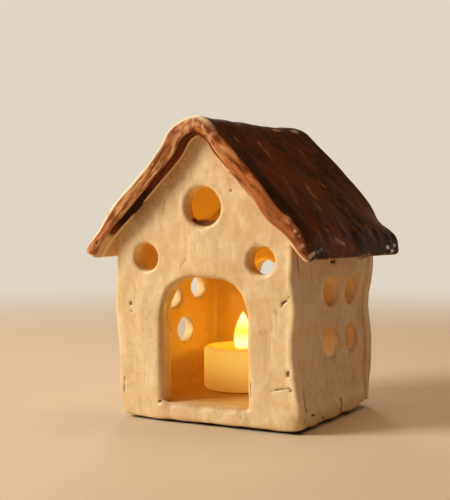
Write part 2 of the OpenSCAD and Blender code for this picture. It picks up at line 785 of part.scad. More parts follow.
floor_slab();
front_wall();
back_wall();
left_wall();
right_wall();
roof_slab();
corner_coils();
floor_coils();
tealight_case();
flame_lens();
led_bulb();
led_legs();
base_plate();
coin_cell();
contact_spring();
contact_tab();
jumper_wire();
switch_case();
switch_pins();
switch_wiper();
switch_knob();
battery_cover();
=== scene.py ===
import math

import bmesh
import bpy
import numpy as np
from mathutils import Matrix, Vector


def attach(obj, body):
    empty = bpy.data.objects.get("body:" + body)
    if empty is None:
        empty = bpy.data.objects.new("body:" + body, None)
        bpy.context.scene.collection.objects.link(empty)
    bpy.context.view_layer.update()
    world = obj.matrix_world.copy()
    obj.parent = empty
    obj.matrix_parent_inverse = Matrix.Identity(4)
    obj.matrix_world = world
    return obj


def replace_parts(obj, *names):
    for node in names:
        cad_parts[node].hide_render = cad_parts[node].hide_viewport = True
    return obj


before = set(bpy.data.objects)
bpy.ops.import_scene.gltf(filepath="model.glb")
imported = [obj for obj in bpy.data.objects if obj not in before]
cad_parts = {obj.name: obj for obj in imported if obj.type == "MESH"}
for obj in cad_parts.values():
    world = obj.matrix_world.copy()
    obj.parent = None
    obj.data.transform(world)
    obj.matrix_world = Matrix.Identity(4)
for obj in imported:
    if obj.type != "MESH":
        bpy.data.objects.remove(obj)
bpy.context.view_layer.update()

MM = 0.001

# The clay walls: five slabs rolled out, cut with a knife and joined with slip into one house. Each outer wall
# runs down over the edge of the floor slab to the table. The slabs are smoothed by hand and dipped in a cream
# glaze, which gathers darker in pits. It breaks paler on outward bends, partly as painted highlight, and is
# darker in creases, partly as painted shade. The inside is painted a darker, warmer tan as painted shade, and
# a dark band along the foot is painted shadow.
FRONT_Y = -42 * MM
INNER_FRONT, INNER_BACK = -33.5 * MM, 33.5 * MM
INNER_LEFT, INNER_RIGHT = -38 * MM, 34.5 * MM
LEFT_FACE, RIGHT_FACE = -46 * MM, 43.5 * MM
FLOOR_TOP = 9 * MM
DOOR_X, DOOR_HALF = -1.4 * MM, 22.5 * MM
RIDGE_X, RIDGE_UNDER, RIGHT_PITCH = -2 * MM, 129.2 * MM, 1.0355
WALL_GRAIN, SOFT_ROUNDS = 0.62 * MM, 3


def copied(node, sink=0.0):
    """A closed copy of a CAD node as a bmesh: corners at the same place become one. With a sink, a wall grows
    by it into the floor slab, into the walls beside it and into the roof, so that no groove shows where slabs
    meet."""
    shape = bmesh.new()
    shape.from_mesh(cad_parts[node].data)
    bmesh.ops.remove_doubles(shape, verts=shape.verts, dist=1e-6)
    if sink:
        mesh = bpy.data.meshes.new("grown")
        shape.to_mesh(mesh)
        places = np.empty(len(mesh.vertices) * 3)
        mesh.vertices.foreach_get("co", places)
        x, y, z = places.reshape(-1, 3).T.copy()
        across = np.minimum(y - INNER_FRONT, INNER_BACK - y) < 0.05 * MM
        places[1::3] += np.sign(y) * sink * 0.7 * across * (node in ("left_wall", "right_wall"))
        places[2::3] += sink * 0.6 * (z > roof_over(x) - 1.3 * MM) - sink * (z < FLOOR_TOP + 0.2 * MM)
        mesh.vertices.foreach_set("co", places)
        shape.clear()
        shape.from_mesh(mesh)
        bpy.data.meshes.remove(mesh)
    return shape


def roof_over(x):
    """Height of the roof's underside over a place left or right of the middle."""
    return RIDGE_UNDER - abs(x - RIDGE_X) * np.where(x < RIDGE_X, 1.0, RIGHT_PITCH)


def trimmed(shape, low, high):
    """The part of a closed shape between two opposite corners of a box: each side of the box cuts it and the
    cut is closed."""
    for axis in range(3):
        for limit, way in ((low[axis], -1), (high[axis], 1)):
            if limit is None:
                continue
            plane = Vector((0, 0, 0))
            plane[axis] = way
            bmesh.ops.bisect_plane(shape, geom=shape.verts[:] + shape.edges[:] + shape.faces[:],
                                   plane_co=plane * limit * way, plane_no=plane, clear_outer=True)
            bmesh.ops.holes_fill(shape, edges=[edge for edge in shape.edges if edge.is_boundary])
    return shape


def skinned(name, shapes, grain, rounds):
    """One closed skin over solid shapes: the space in them is filled with cubes of the grain's size, the
    outside of the cubes becomes a mesh, and each corner moves halfway to the middle of its neighbours a
    number of times."""
    mesh = bpy.data.meshes.new(name)
    whole = bmesh.new()
    for shape in shapes:
        part = bpy.data.meshes.new("part")
        shape.to_mesh(part)
        shape.free()
        whole.from_mesh(part)
        bpy.data.meshes.remove(part)
    whole.to_mesh(mesh)
    whole.free()
    piece = bpy.data.objects.new(name, mesh)
    bpy.context.scene.collection.objects.link(piece)
    skin = piece.modifiers.new("skin", "REMESH")
    skin.mode, skin.voxel_size = "VOXEL", grain
    soft = piece.modifiers.new("soft", "SMOOTH")
    soft.factor, soft.iterations = 0.5, rounds
    bpy.context.view_layer.update()
    finished = bpy.data.meshes.new_from_object(piece.evaluated_get(bpy.context.evaluated_depsgraph_get()))
    piece.modifiers.clear()
    piece.data = finished
    bpy.data.meshes.remove(mesh)
    return piece


def corners_of(piece):
    """The places and the outward directions of a piece's corners, as two arrays."""
    places = np.empty(len(piece.data.vertices) * 3)
    piece.data.vertices.foreach_get("co", places)
    outward = np.empty(len(piece.data.vertices) * 3)
    piece.data.vertex_normals.foreach_get("vector", outward)
    return places.reshape(-1, 3), outward.reshape(-1, 3)


def placed(piece, places):
    """Puts a piece's corners at new places and shades it smooth."""
    piece.data.vertices.foreach_set("co", places.ravel())
    piece.data.update()
    piece.data.shade_smooth()


def painted(piece, name, values):
    """Stores one number for each corner of a piece, for its material to read."""
    piece.data.attributes.new(name, "FLOAT", "POINT").data.foreach_set("value", values.astype(np.float32))


def hills(places, size, seed):
    """Soft hills from -1 to 1. A lattice of the given size, the same or different along x, y and z, has a
    random height at each of its corners, and the eight heights round a point are blended by the smooth
    step."""
    spot = places / np.asarray(size) + seed * 7.31
    cell = np.floor(spot).astype(np.int64)
    part = spot - cell
    part = part * part * (3 - 2 * part)
    height = np.zeros(len(places))
    for corner in np.ndindex(2, 2, 2):
        x, y, z = (cell + corner).T
        mixed = (x * 73856093 ^ y * 19349663 ^ z * 83492791 ^ seed * 26544357) & 0xFFFFFFFF
        mixed = ((mixed ^ mixed >> 13) * 1274126177) & 0xFFFFFFFF
        mixed = ((mixed ^ mixed >> 16) * 2246822519) & 0xFFFFFFFF
        chance = ((mixed ^ mixed >> 15) & 0xFFFFFF) / 0x7FFFFF - 1
        height += np.prod(np.where(corner, part, 1 - part), axis=1) * chance
    return height


def scratched(places, start, end, width):
    """From 0 to 1, how far a point lies in a scratch from start to end: one over e to the power of its
    squared distance from the line, counted in widths. The line wavers and fades by small hills."""
    start, end = np.asarray(start) * MM, np.asarray(end) * MM
    run = end - start
    drift = np.stack([hills(places, 3.1 * MM, 40 + axis) for axis in range(3)], axis=1)
    shaken = places + 0.45 * MM * drift * min(1, np.linalg.norm(run) / (3 * MM))
    along = np.clip((shaken - start) @ run / max(run @ run, 1e-12), 0, 1)
    away = np.linalg.norm(shaken - start - along[:, None] * run, axis=1)
    return np.exp(-(away / (width * MM)) ** 2) * (0.8 + 0.35 * hills(places, 2.6 * MM, 44))


def strongest(places, lines, wider=1.0):
    """The strongest of several scratches at each point: each line has a start, an end, a width and a
    strength."""
    most = np.zeros(len(places))
    for start, end, width, strength in lines:
        most = np.maximum(most, scratched(places, start, end, width * wider) * strength)
    return most


def pressed(places, presses):
    """Soft hollows and bumps, in metres: each has a middle, a reach along x, y and z, and a height, all in
    millimetres, and falls off as one over e to the power of the squared distance counted in reaches."""
    moved = np.zeros(len(places))
    for middle, reach, height in presses:
        away = (places / MM - np.asarray(middle)) / np.asarray(reach)
        moved += height * MM * np.exp(-(away ** 2).sum(axis=1))
    return moved


def pushed(places, pushes):
    """How far the clay goes where it is pushed along its surface: each push has a middle, a reach along x, y
    and z, and a shift, all in millimetres, and falls off as a press does."""
    shift = np.zeros_like(places)
    for middle, reach, by in pushes:
        away = (places / MM - np.asarray(middle)) / np.asarray(reach)
        shift += np.exp(-(away ** 2).sum(axis=1))[:, None] * np.asarray(by) * MM
    return shift


def neighbour_mean(piece, values):
    """The mean of the values at each corner's neighbours."""
    edges = np.empty(len(piece.data.edges) * 2, np.int32)
    piece.data.edges.foreach_get("vertices", edges)
    a, b = edges.reshape(-1, 2).T
    size = len(piece.data.vertices)
    count = np.bincount(a, minlength=size) + np.bincount(b, minlength=size)
    columns = values.reshape(size, -1).T
    total = [np.bincount(a, column[b], size) + np.bincount(b, column[a], size) for column in columns]
    return (np.stack(total, axis=1) / count[:, None]).reshape(values.shape)


def bend_of(piece):
    """How sharply the surface bends out (above 0) or in (below 0) at each corner: the mean height of its
    neighbours below its own tangent plane, in millimetres, blended with its neighbours twice."""
    places, outward = corners_of(piece)
    bend = -np.einsum("ij,ij->i", neighbour_mean(piece, places) - places, outward) / MM
    for _ in range(2):
        bend = 0.5 * bend + 0.5 * neighbour_mean(piece, bend)
    return bend


def without_ledge(piece):
    """Smears away the outer ledge over the floor slab: its corners go halfway to the middle of their
    neighbours many times."""
    places = corners_of(piece)[0]
    x, y, z = places.T
    outer = (np.abs(y) > 40.3 * MM) | (x < -42 * MM) | (x > 39.5 * MM)
    ledge = np.clip(1.5 - np.abs(z - FLOOR_TOP) / (5 * MM), 0, 1) * outer
    ledge *= np.where((np.abs(x - DOOR_X) < DOOR_HALF) & (y < 0), 0.7, 1.0)
    for _ in range(26):
        places += 0.5 * ledge[:, None] * (neighbour_mean(piece, places) - places)
    placed(piece, places)


def lumpy(places, outward, lump, seed):
    """How far handled clay stands out, in metres: by broad, middle and fine hills, by the edge left where two
    slabs were pinched together, and by thin creases where other hills cross zero."""
    x, y, z = places.T
    out = lump * (hills(places, 21 * MM, seed) + 0.45 * hills(places, 8.7 * MM, seed + 1))
    out += lump * (0.24 * hills(places, (4 * MM, 4 * MM, 15 * MM), seed + 2)
                   + 0.19 * hills(places, 2.6 * MM, seed + 3))
    pinch = np.clip(2 * np.abs(outward[:, 0] * outward[:, 1]), 0, 1) ** 2.5 * (np.abs(x) > 35 * MM)
    pinch *= np.clip((z - 3 * MM) / (10 * MM), 0, 1) * (np.abs(y) > 36 * MM)
    strength = np.where((x > 0) & (y < 0), 1.7, 0.6)
    out += pinch * strength * MM * (1 + 0.35 * hills(places, 5 * MM, seed + 9))
    crease = np.clip(1 - 9 * np.abs(hills(places, (11 * MM, 11 * MM, 27 * MM), seed + 6)), 0, 1)
    out += 0.35 * lump * crease * np.clip(hills(places, 12 * MM, seed + 7) * 2, -1, 1)
    return out


def glazed(piece, places, lifted, rim_highlights, pitted, seed):
    """Stores what the cream glaze reads at each corner: pits, and painted shade on the lip inside the gable
    window;
    paler outward bends and darker creases, partly painted highlight and shade, with painted highlights round
    the right wall's windows; painted shade on the inside; a painted shadow along the foot; and painted shade
    under the roof and on the sill."""
    x, y, z = places.T
    # Painted shade: the lip inside the gable window is painted dark brown together with the pits.
    shaded_lip = np.abs(places - np.array([-2.6, -35.5, 88.6]) * MM) / np.array([8, 3.2, 2.9]) / MM
    painted(piece, "pitted", np.maximum(pitted, np.clip((1.15 - shaded_lip.max(axis=1)) * 6, 0, 1)))
    # Outward bends, partly glaze breaking and partly painted highlight, plus the painted highlights round the
    # right windows.
    painted(piece, "worn", bend_of(piece) + 0.3 * rim_highlights)
    # Painted shade: the inside of the house is given a darker, warmer tan.
    deep = np.maximum(np.abs(x + 1.75 * MM) - 36.5 * MM, np.abs(y) - 33.5 * MM)
    painted(piece, "inside", np.clip(1 - deep / (6 * MM), 0, 1) * (z > 6 * MM))
    # Painted shadow: a dark band along the outer foot, a little higher towards the right.
    bare = 1.7 + 0.5 * x / (44 * MM) + 0.8 * hills(places, 9 * MM, seed + 10)
    painted(piece, "bare", np.clip((bare - lifted / MM) / 0.5, 0, 1))
    # Painted shade on the sill's rounded edge, and mottled painted shade on the front wall just under the
    # roof.
    sill_shade = np.exp(-((z - 8.6 * MM) / (3.4 * MM)) ** 2)
    sill_shade *= (np.abs(x - DOOR_X) < DOOR_HALF) & (y < -37 * MM)
    close = 1 - (roof_over(x) - z) / (9 * MM)
    roof_shade = np.clip(close + 0.5 * hills(places, 4.5 * MM, seed + 8), 0, 1) * (y < -40 * MM)
    painted(piece, "stained", np.maximum(roof_shade, sill_shade * 0.4))


def handled(piece, marks, presses, pushes, smears, lump, seed):
    """Works the clay. A corner moves outwards by the lumps of handling and by each press, inwards by each
    scratch, and sideways by each push. Upward faces near the floor only sink, so that the tealight stands and
    slides clear of them, and the outer foot turns up a little. A mark on a side wall is measured on that
    wall's flat face."""
    without_ledge(piece)
    places, outward = corners_of(piece)
    x, y, z = places.T
    bed = np.clip(outward[:, 2] * 3 - 1.5, 0, 1) * np.clip((13 * MM - z) / (2 * MM), 0, 1)
    bed *= np.abs(y) < 40 * MM
    out = lumpy(places, outward, lump, seed) + pressed(places, presses)
    out = out * (1 - bed) - bed * (0.25 * MM + 0.2 * MM * hills(places, 9 * MM, seed + 4))
    faced = places.copy()
    faced[:, 0] = np.where(x > 37 * MM, RIGHT_FACE, np.where(x < -42 * MM, LEFT_FACE, x))
    pitted = np.zeros(len(places))
    for start, end, width, depth in marks:
        mark = scratched(faced if abs(start[1]) < 37 else places, start, end, width)
        out -= depth * MM * mark
        pitted = np.maximum(pitted, mark * min(1.0, depth / 0.7))
    moved = places + outward * out[:, None] + pushed(places, pushes)
    rim = np.maximum(np.maximum(x - 38 * MM, -39.5 * MM - x), np.abs(y) - 36.5 * MM) / (4.5 * MM)
    foot = np.clip((4.5 * MM - z) / (4.5 * MM), 0, 1) * np.clip(np.clip(rim, 0, 1) * 1.7, 0, 1)
    moved[:, 2] += foot * MM * (1.0 + 0.4 * x / (44 * MM) + 0.8 * hills(places, 12 * MM, seed + 5))
    moved[:, 2] = np.maximum(moved[:, 2], 0)
    placed(piece, moved)
    # The smears are painted highlights round the rims of the right wall's windows.
    glazed(piece, places, moved[:, 2], strongest(faced, smears), pitted, seed)


def coated(piece, material):
    """Gives a piece one material alone."""
    piece.data.materials.clear()
    piece.data.materials.append(material)


class Wire:
    """A socket in a material's nodes. The operators on it, and on numbers with it, add Math nodes."""

    def __init__(self, tree, socket):
        self.tree, self.socket = tree, socket

    def node(self, kind, settings=None, **values):
        """Adds a node of a kind, with its settings made first and then the values or links of its sockets,
        which are named or numbered (in0, in1). Returns the node."""
        made = self.tree.nodes.new(kind)
        for name, value in (settings or {}).items():
            if name == "stops":
                while len(made.color_ramp.elements) < len(value):
                    made.color_ramp.elements.new(1)
                for stop, (place, colour) in zip(made.color_ramp.elements, value):
                    stop.position, stop.color = place, (*colour, 1)
            else:
                setattr(made, name, value)
        for name, value in values.items():
            numbered = name[:2] == "in" and name[2:].isdigit()
            self.feed(made.inputs[int(name[2:]) if numbered else name], value)
        return made

    def feed(self, into, value):
        """Links a wire to an input, or sets the input to a value."""
        if isinstance(value, Wire):
            self.tree.links.new(value.socket, into)
        else:
            into.default_value = value

    def made(self, kind, settings=None, out=0, **values):
        """Adds a node and returns its output, by number or name, as a wire."""
        return Wire(self.tree, self.node(kind, settings, **values).outputs[out])

    def maths(self, operation, *values):
        """A Math node's operation on numbers and wires."""
        sockets = {f"in{number}": value for number, value in enumerate(values)}
        return self.made("ShaderNodeMath", {"operation": operation}, **sockets)

    def larger(self, other):
        """The larger of two wires."""
        return self.maths("MAXIMUM", self, other)

    def __add__(self, other): return self.maths("ADD", self, other)
    def __radd__(self, other): return self.maths("ADD", other, self)
    def __sub__(self, other): return self.maths("SUBTRACT", self, other)
    def __rsub__(self, other): return self.maths("SUBTRACT", other, self)
    def __mul__(self, other): return self.maths("MULTIPLY", self, other)
    def __rmul__(self, other): return self.maths("MULTIPLY", other, self)
    def __truediv__(self, other): return self.maths("DIVIDE", self, other)

    def span(self, low, high):
        """The wire's value from low to high as 0 to 1, by the smooth step."""
        return self.made("ShaderNodeMapRange", {"interpolation_type": "SMOOTHSTEP"},
                         in0=self, in1=low, in2=high)

    def blend(self, first, second):
        """The first colour where the wire is 0 and the second where it is 1."""
        return self.made("ShaderNodeMix", {"data_type": "RGBA"}, out=2, in0=self, in6=first, in7=second)

    def stretched(self, x, y, z):
        """The wire, a place, with each direction multiplied."""
        return self.made("ShaderNodeVectorMath", {"operation": "MULTIPLY"}, in0=self, in1=(x, y, z))

    def noise(self, scale, detail=3.0, rough=0.55):
        """Cloudy noise from 0 to 1 at this place, with so many patches to the metre."""
        return self.made("ShaderNodeTexNoise", Vector=self, Scale=scale, Detail=detail, Roughness=rough)

    def spots(self, scale, chance=1.0):
        """Distance from the nearest of many scattered points, as a share of their spacing."""
        return self.made("ShaderNodeTexVoronoi", {"feature": "F1"},
                         Vector=self, Scale=scale, Randomness=chance)

    def stored(self, name, out="Fac"):
        """What the piece stores under a name at each corner."""
        return self.made("ShaderNodeAttribute", {"attribute_name": name}, out=out)

    def bump(self, shader, strength, depth, height):
        """Gives a shader a fine relief from a height of 0 to 1, as deep as the depth."""
        relief = self.made("ShaderNodeBump", Strength=strength, Distance=depth, Height=height)
        self.feed(shader.inputs["Normal"], relief)


def finish_named(name, **fixed):
    """A new material with a shader and the places of the surface. Returns the material, its shader and the
    wire of Object coordinates. The fixed values are set on the shader's own sockets, with _ for a blank."""
    material = bpy.data.materials.new(name)
    material.use_nodes = True
    tree = material.node_tree
    shader = tree.nodes["Principled BSDF"]
    for socket, value in fixed.items():
        shader.inputs[socket.replace("_", " ")].default_value = value
    place = Wire(tree, tree.nodes.new("ShaderNodeTexCoord").outputs["Object"])
    return material, shader, place


def tone(red, green, blue):
    """A colour written as it looks on a screen, 0 to 255, turned into amounts of light for a shader."""
    return tuple(v / 12.92 if v <= 0.04045 else ((v + 0.055) / 1.055) ** 2.4
                 for v in (red / 255, green / 255, blue / 255)) + (1.0,)


CREAM_PALE, CREAM, CREAM_DEEP = tone(250, 226, 180), tone(238, 206, 154), tone(226, 188, 134)
CREAM_TAN, PIT_BROWN = tone(200, 156, 104), tone(112, 60, 28)

cream, cream_shader, at = finish_named("cream_glaze", IOR=1.42, Coat_Roughness=0.2)
pitted, worn, stained = at.stored("pitted"), at.stored("worn"), at.stored("stained")
inside, bare = at.stored("inside"), at.stored("bare")
dabs = at.stretched(1, 1, 0.6).noise(330, 2, 0.5)
broad = at.noise(42, 2)
cloud = at.noise(150, 4, 0.6)
grain = at.noise(620, 3)
wipes = at.stretched(1, 1, 0.35).noise(260, 3)
specks = 1 - at.spots(190).span(0.02, 0.07)
pinholes = 1 - at.spots(480).span(0.03, 0.08)
colour = (broad * 0.6 + cloud * 0.4).span(0.38, 0.62).blend(CREAM_DEEP, CREAM)
colour = (wipes.span(0.5, 0.74) * 0.6).blend(colour, CREAM_PALE)
colour = (dabs.span(0.5, 0.36) * 0.35).blend(colour, tone(220, 172, 112))
# Painted shade on the inside of the house: a darker, warmer tan.
colour = (inside * 0.8).blend(colour, tone(226, 182, 96))
colour = ((cloud * 0.6 + grain * 0.4).span(0.43, 0.3) * 0.5).blend(colour, CREAM_TAN)
# Paler on outward bends, partly glaze breaking and partly painted highlight; darker on inward bends, partly
# painted shade.
colour = (worn.span(0.02, 0.12) * 0.65).blend(colour, CREAM_PALE)
colour = ((-1 * worn).span(0.015, 0.12) * 0.8).blend(colour, CREAM_TAN)
# Painted shade under the roof and on the sill: a darker tan, with less coat.
colour = (stained * grain.span(0.3, 0.6) * 0.75).blend(colour, tone(196, 142, 84))
flecked = specks * at.noise(80, 1).span(0.5, 0.62)
dark = flecked.larger(pinholes * 0.3)
colour = (dark * 0.75).blend(colour, PIT_BROWN)
# Pits, and the painted shade on the lip inside the gable window, in dark brown.
colour = pitted.span(0.15, 0.65).blend(colour, PIT_BROWN)
# The painted shadow along the foot: nearly black, rough and without coat.
colour = bare.blend(colour, tone(34, 19, 11))
at.feed(cream_shader.inputs["Base Color"], colour)
at.feed(cream_shader.inputs["Roughness"], 0.42 + 0.22 * cloud + 0.2 * dark + 0.3 * pitted.larger(bare))
glossy_share = (0.12 + 0.2 * broad) * pitted.span(1, 0) * stained.span(0.4, 0)
at.feed(cream_shader.inputs["Coat Weight"], glossy_share * (1 - bare))
at.bump(cream_shader, 0.55, 0.35 * MM, 0.45 * cloud + 0.25 * grain + 0.2 * wipes - 0.8 * dark)

# Marks in the clay, each with a start, an end, a width and a depth in millimetres: nicks, pits and lines of
# the tool. A mark with its y at -42 or 42 is on the front or back face.

FRONT_MARKS = [
    ((-37.4, -42, 78.5), (-37.4, -42, 78.3), 0.6, 0.9), ((-39.7, -42, 53.6), (-39.7, -42, 52.4), 0.5, 0.8),
    ((-39.1, -42, 49.6), (-39.1, -42, 49.3), 0.5, 0.6), ((11.9, -42, 104.6), (11.9, -42, 104.0), 0.5, 0.6),
    ((40.0, -42, 59.9), (39.3, -42, 58.6), 0.7, 1.1), ((38.2, -42, 57.4), (36.6, -42, 56.4), 0.55, 0.8),
    ((36.6, -42, 56.2), (36.0, -42, 54.6), 0.5, 0.5), ((33.6, -42, 52.8), (33.9, -42, 44.0), 0.5, 0.3),
    ((39.2, -42, 27.2), (38.8, -42, 25.4), 0.6, 0.9), ((31.3, -42, 18.3), (39.4, -42, 20.2), 0.42, 0.55),
    ((39.9, -42, 19.4), (39.9, -42, 18.8), 0.5, 0.7), ((-24.6, -42, 9.2), (-19.8, -42, 10.9), 0.7, 1.0),
    ((-43.3, -42, 18.5), (-43.2, -42, 6.5), 0.6, 0.5), ((-33.1, -42, 16.2), (-31.9, -42, 22.8), 0.6, 0.25),
    ((41.7, -42, 74.6), (42.0, -42, 71.0), 0.8, 1.1), ((-21.1, -42, 101.2), (-22.9, -42, 94.0), 0.6, 0.35),
    ((43.4, -42, 6.8), (43.9, -42, 6.2), 0.7, 0.9), ((45.5, -42, 4.3), (45.2, -42, 4.0), 0.6, 0.8),
    ((22.3, -42, 24.0), (22.4, -42, 15.5), 0.55, 0.6), ((22.4, -42, 15.5), (21.8, -42, 10.0), 0.6, 0.7),
    ((12.4, -42, 8.3), (12.9, -42, 8.2), 0.5, 0.6), ((17.5, -42, 5.6), (18.0, -42, 5.5), 0.45, 0.5),
    ((-14.0, -42, 70.5), (-11.0, -42, 74.0), 0.5, 0.25), ((24.0, -42, 81.5), (26.9, -42, 80.6), 0.5, 0.45),
    ((43.5, -34.9, 33.0), (43.5, -33.9, 20.6), 0.55, 0.9),
    ((43.5, -33.9, 20.6), (43.5, -33.4, 12.0), 0.6, 1.0),
    ((43.5, -36.1, 76.5), (43.5, -34.2, 66.8), 0.6, 0.9), ((43.5, -36.4, 5.2), (43.5, -35.6, 5.0), 0.7, 0.9),
    ((-7.9, -42, 78.2), (-7.7, -42, 78.0), 0.4, 0.4), ((30.4, -42, 40.0), (30.8, -42, 33.0), 0.5, 0.25),
]
BACK_MARKS = [
    ((-22.0, 42, 61.0), (-18.5, 42, 60.2), 0.6, 0.5), ((27.0, 42, 33.0), (27.3, 42, 26.0), 0.7, 0.4),
    ((9.0, 42, 96.0), (9.1, 42, 95.7), 0.6, 0.7), ((-33.0, 42, 20.0), (-32.8, 42, 19.6), 0.6, 0.7),
    ((-6.0, 33.5, 62.0), (-5.6, 33.5, 52.0), 0.35, 0.3), ((-6.4, 33.5, 64.0), (-6.3, 33.5, 58.0), 0.3, 0.3),
]
LEFT_MARKS = [
    ((-46.5, 12.0, 58.0), (-46.5, 14.5, 55.5), 0.6, 0.6),
    ((-46.0, -24.0, 21.0), (-46.0, -16.0, 20.0), 0.55, 0.4),
    ((-46.0, 25.0, 30.0), (-46.0, 25.2, 29.6), 0.6, 0.7),
]
RIGHT_MARKS = [
    ((43.5, -0.6, 39.4), (43.5, -0.6, 38.4), 0.8, 1.0), ((43.5, -6.2, 31.8), (43.5, -6.0, 30.8), 0.8, 1.0),
    ((43.5, 16.4, 37.2), (43.5, 16.4, 36.2), 0.7, 0.8), ((43.5, -2.0, 33.2), (43.5, -3.4, 31.0), 0.5, 0.5),
    ((43.5, -34.9, 33.0), (43.5, -33.6, 20.6), 0.45, 0.6),
    ((43.5, -33.6, 20.6), (43.5, -31.6, 13.8), 0.55, 0.9),
    ((43.5, -31.6, 13.8), (43.5, -32.4, 8.7), 0.6, 1.1),
    ((43.5, -28.4, 6.6), (43.5, -26.6, 6.4), 0.7, 1.0), ((43.5, -17.6, 3.2), (43.5, -16.4, 2.8), 0.9, 1.0),
    ((43.5, -3.2, 72.0), (43.5, -0.6, 72.4), 0.8, 1.1), ((43.5, -36.1, 76.5), (43.5, -33.9, 66.8), 0.55, 0.8),
    ((43.5, 1.0, 26.8), (43.5, 1.0, 25.8), 0.5, 0.5), ((43.5, 2.4, 9.0), (43.5, 1.2, 2.8), 0.8, 0.7),
    ((43.5, 33.4, 34.0), (43.5, 33.8, 26.0), 0.7, 0.5), ((43.5, 22.0, 72.8), (43.5, 30.0, 73.4), 0.6, 0.5),
]
# Painted highlights on the rims of the right wall's windows, each with a start, an end, a width and a
# strength.
RIM_HIGHLIGHTS = [
    ((43.5, -11.5, 56.5), (43.5, -11.6, 61.4), 0.9, 1), ((43.5, -11.6, 61.4), (43.5, -6.4, 64.2), 0.8, 1),
    ((43.5, 12.1, 57.0), (43.5, 13.2, 62.6), 0.8, 1), ((43.5, 13.2, 62.6), (43.5, 17.6, 64.9), 0.8, 1),
    ((43.5, -10.1, 31.6), (43.5, -10.8, 38.9), 0.7, 1), ((43.5, -2.6, 34.4), (43.5, -5.5, 29.7), 0.6, 1),
    ((43.5, 12.4, 34.6), (43.5, 14.1, 41.4), 0.6, 1), ((43.5, 14.1, 41.4), (43.5, 17.8, 43.4), 0.7, 1),
]
# Presses of the maker's hands, and pushes along the surface: the slabs swell at the ridge's left shoulder,
# the right jamb leans into the doorway, the gable window has a lip inside, and the right wall's foot turns up
# at the back.
FRONT_PRESSES = [
    ((-23.5, -38, 12), (3, 9, 7), 0.8), ((20, -40, 10), (2.5, 4, 3), 0.5), ((30, -42, 62), (6, 3, 9), 0.35),
    ((-33, -42, 40), (9, 3, 16), 0.5), ((-30, -42, 66), (12, 3, 8), -0.45), ((33, -42, 44), (6, 3, 20), -0.5),
    ((0, -42, 76), (16, 3, 6), 0.5), ((10, -42, 84), (7, 3, 9), -0.4), ((-20, -42, 3), (9, 4, 4), 0.6),
    ((10, -42, 5), (12, 4, 4), -0.5), ((40, -42, 8), (6, 5, 6), 0.6), ((-43, -42, 30), (3, 3, 12), 0.5),
]
BACK_PRESSES = [
    ((-20, 42, 40), (14, 3, 20), 0.5), ((18, 42, 70), (13, 3, 14), -0.5), ((22, 42, 24), (12, 3, 14), 0.4),
]
LEFT_PRESSES = [
    ((-47, -16, 60), (3, 12, 14), 0.5), ((-46, 10, 24), (3, 12, 10), -0.5), ((-46, 24, 60), (3, 8, 18), 0.4),
]
RIGHT_PRESSES = [
    ((43.5, 5, 49), (3, 14, 6), -0.5), ((43.5, -24, 40), (3, 7, 26), 0.5), ((44, 26, 52), (3, 6, 18), -0.5),
    ((43.5, 10, 6), (3, 12, 5), 0.6), ((43.5, 24, 20), (3, 8, 10), 0.4),
]
RIDGE_PUSHES = [
    ((-14, -49.5, 130), (9, 22, 7), (-2.4, 0, 1.5)), ((-2, -49.5, 136), (10, 9, 5), (0, 0, 0.9)),
    ((-6.5, -49.5, 126), (5, 14, 4.5), (-1.2, 0, 0.5)), ((3.5, -49.5, 126), (4, 14, 4), (1.2, 0, 0.4)),
]
FOOT_PUSHES = [((43.5, 38, 0), (9, 13, 4.5), (0, 0, 2.2))]
FRONT_PUSHES = RIDGE_PUSHES + [
    ((21.5, -41, 34), (4, 8, 32), (-2.3, 0, 0)), ((-1.2, -42, 68), (10, 7, 4), (0, 0, -2.2)),
    ((41.5, -41, 42), (3.2, 3.2, 36), (1.0, 0, 0)), ((43.5, -41, 9), (3.2, 3.2, 9), (1.0, 0, 0)),
    ((-1.4, -42, 9), (23, 3.2, 3.6), (0, 0.7, -1.0)), ((2, -42, 8), (4, 3, 3), (0, -0.5, 0.5)),
    ((-12, -42, 8), (5, 3, 3), (0, -0.3, 0.4)), ((14, -42, 8), (3, 3, 3), (0, -0.4, 0.6)),
    ((-21, -42, 59), (6, 7, 6), (-0.9, 0, 0.6)), ((-44, -42, 12), (4, 6, 9), (-1.1, 0, 0)),
    ((10, -42, 2), (20, 5, 8), (0, -1.1, 0)), ((-2.6, -34, 88.3), (9, 3, 2.6), (0, 0, 2.7)),
]
RIGHT_PUSHES = FOOT_PUSHES + [
    ((43, 7, 50), (9, 20, 26), (0, 3.2, 0)), ((43.5, 6, 0), (7, 6, 3.5), (0, 0, 1.0)),
]
WALLS = [
    ("wall_front", "front_wall", (None, None, None), (None, INNER_FRONT, None), FRONT_MARKS, FRONT_PRESSES,
     FRONT_PUSHES, [], 3),
    ("wall_back", "back_wall", (None, INNER_BACK, None), (None, None, None), BACK_MARKS, BACK_PRESSES,
     FOOT_PUSHES, [], 4),
    ("wall_left", "left_wall", (None, INNER_FRONT - 1 * MM, None), (INNER_LEFT, INNER_BACK + 1 * MM, None),
     LEFT_MARKS, LEFT_PRESSES, [], [], 5),
    ("wall_right", "right_wall", (INNER_RIGHT, INNER_FRONT - 1 * MM, None), (None, INNER_BACK + 1 * MM, None),
     RIGHT_MARKS, RIGHT_PRESSES, RIGHT_PUSHES, RIM_HIGHLIGHTS, 6),
]
for name, node, low, high, marks, presses, pushes, smears, seed in WALLS:
    solids = [copied(node, 2 * MM), trimmed(copied("floor_slab"), low, high)]
    wall = skinned(name, solids, WALL_GRAIN, SOFT_ROUNDS)
    handled(wall, marks, presses, pushes, smears, 0.5 * MM, seed)
    coated(wall, cream)
    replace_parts(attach(wall, "house"), node)

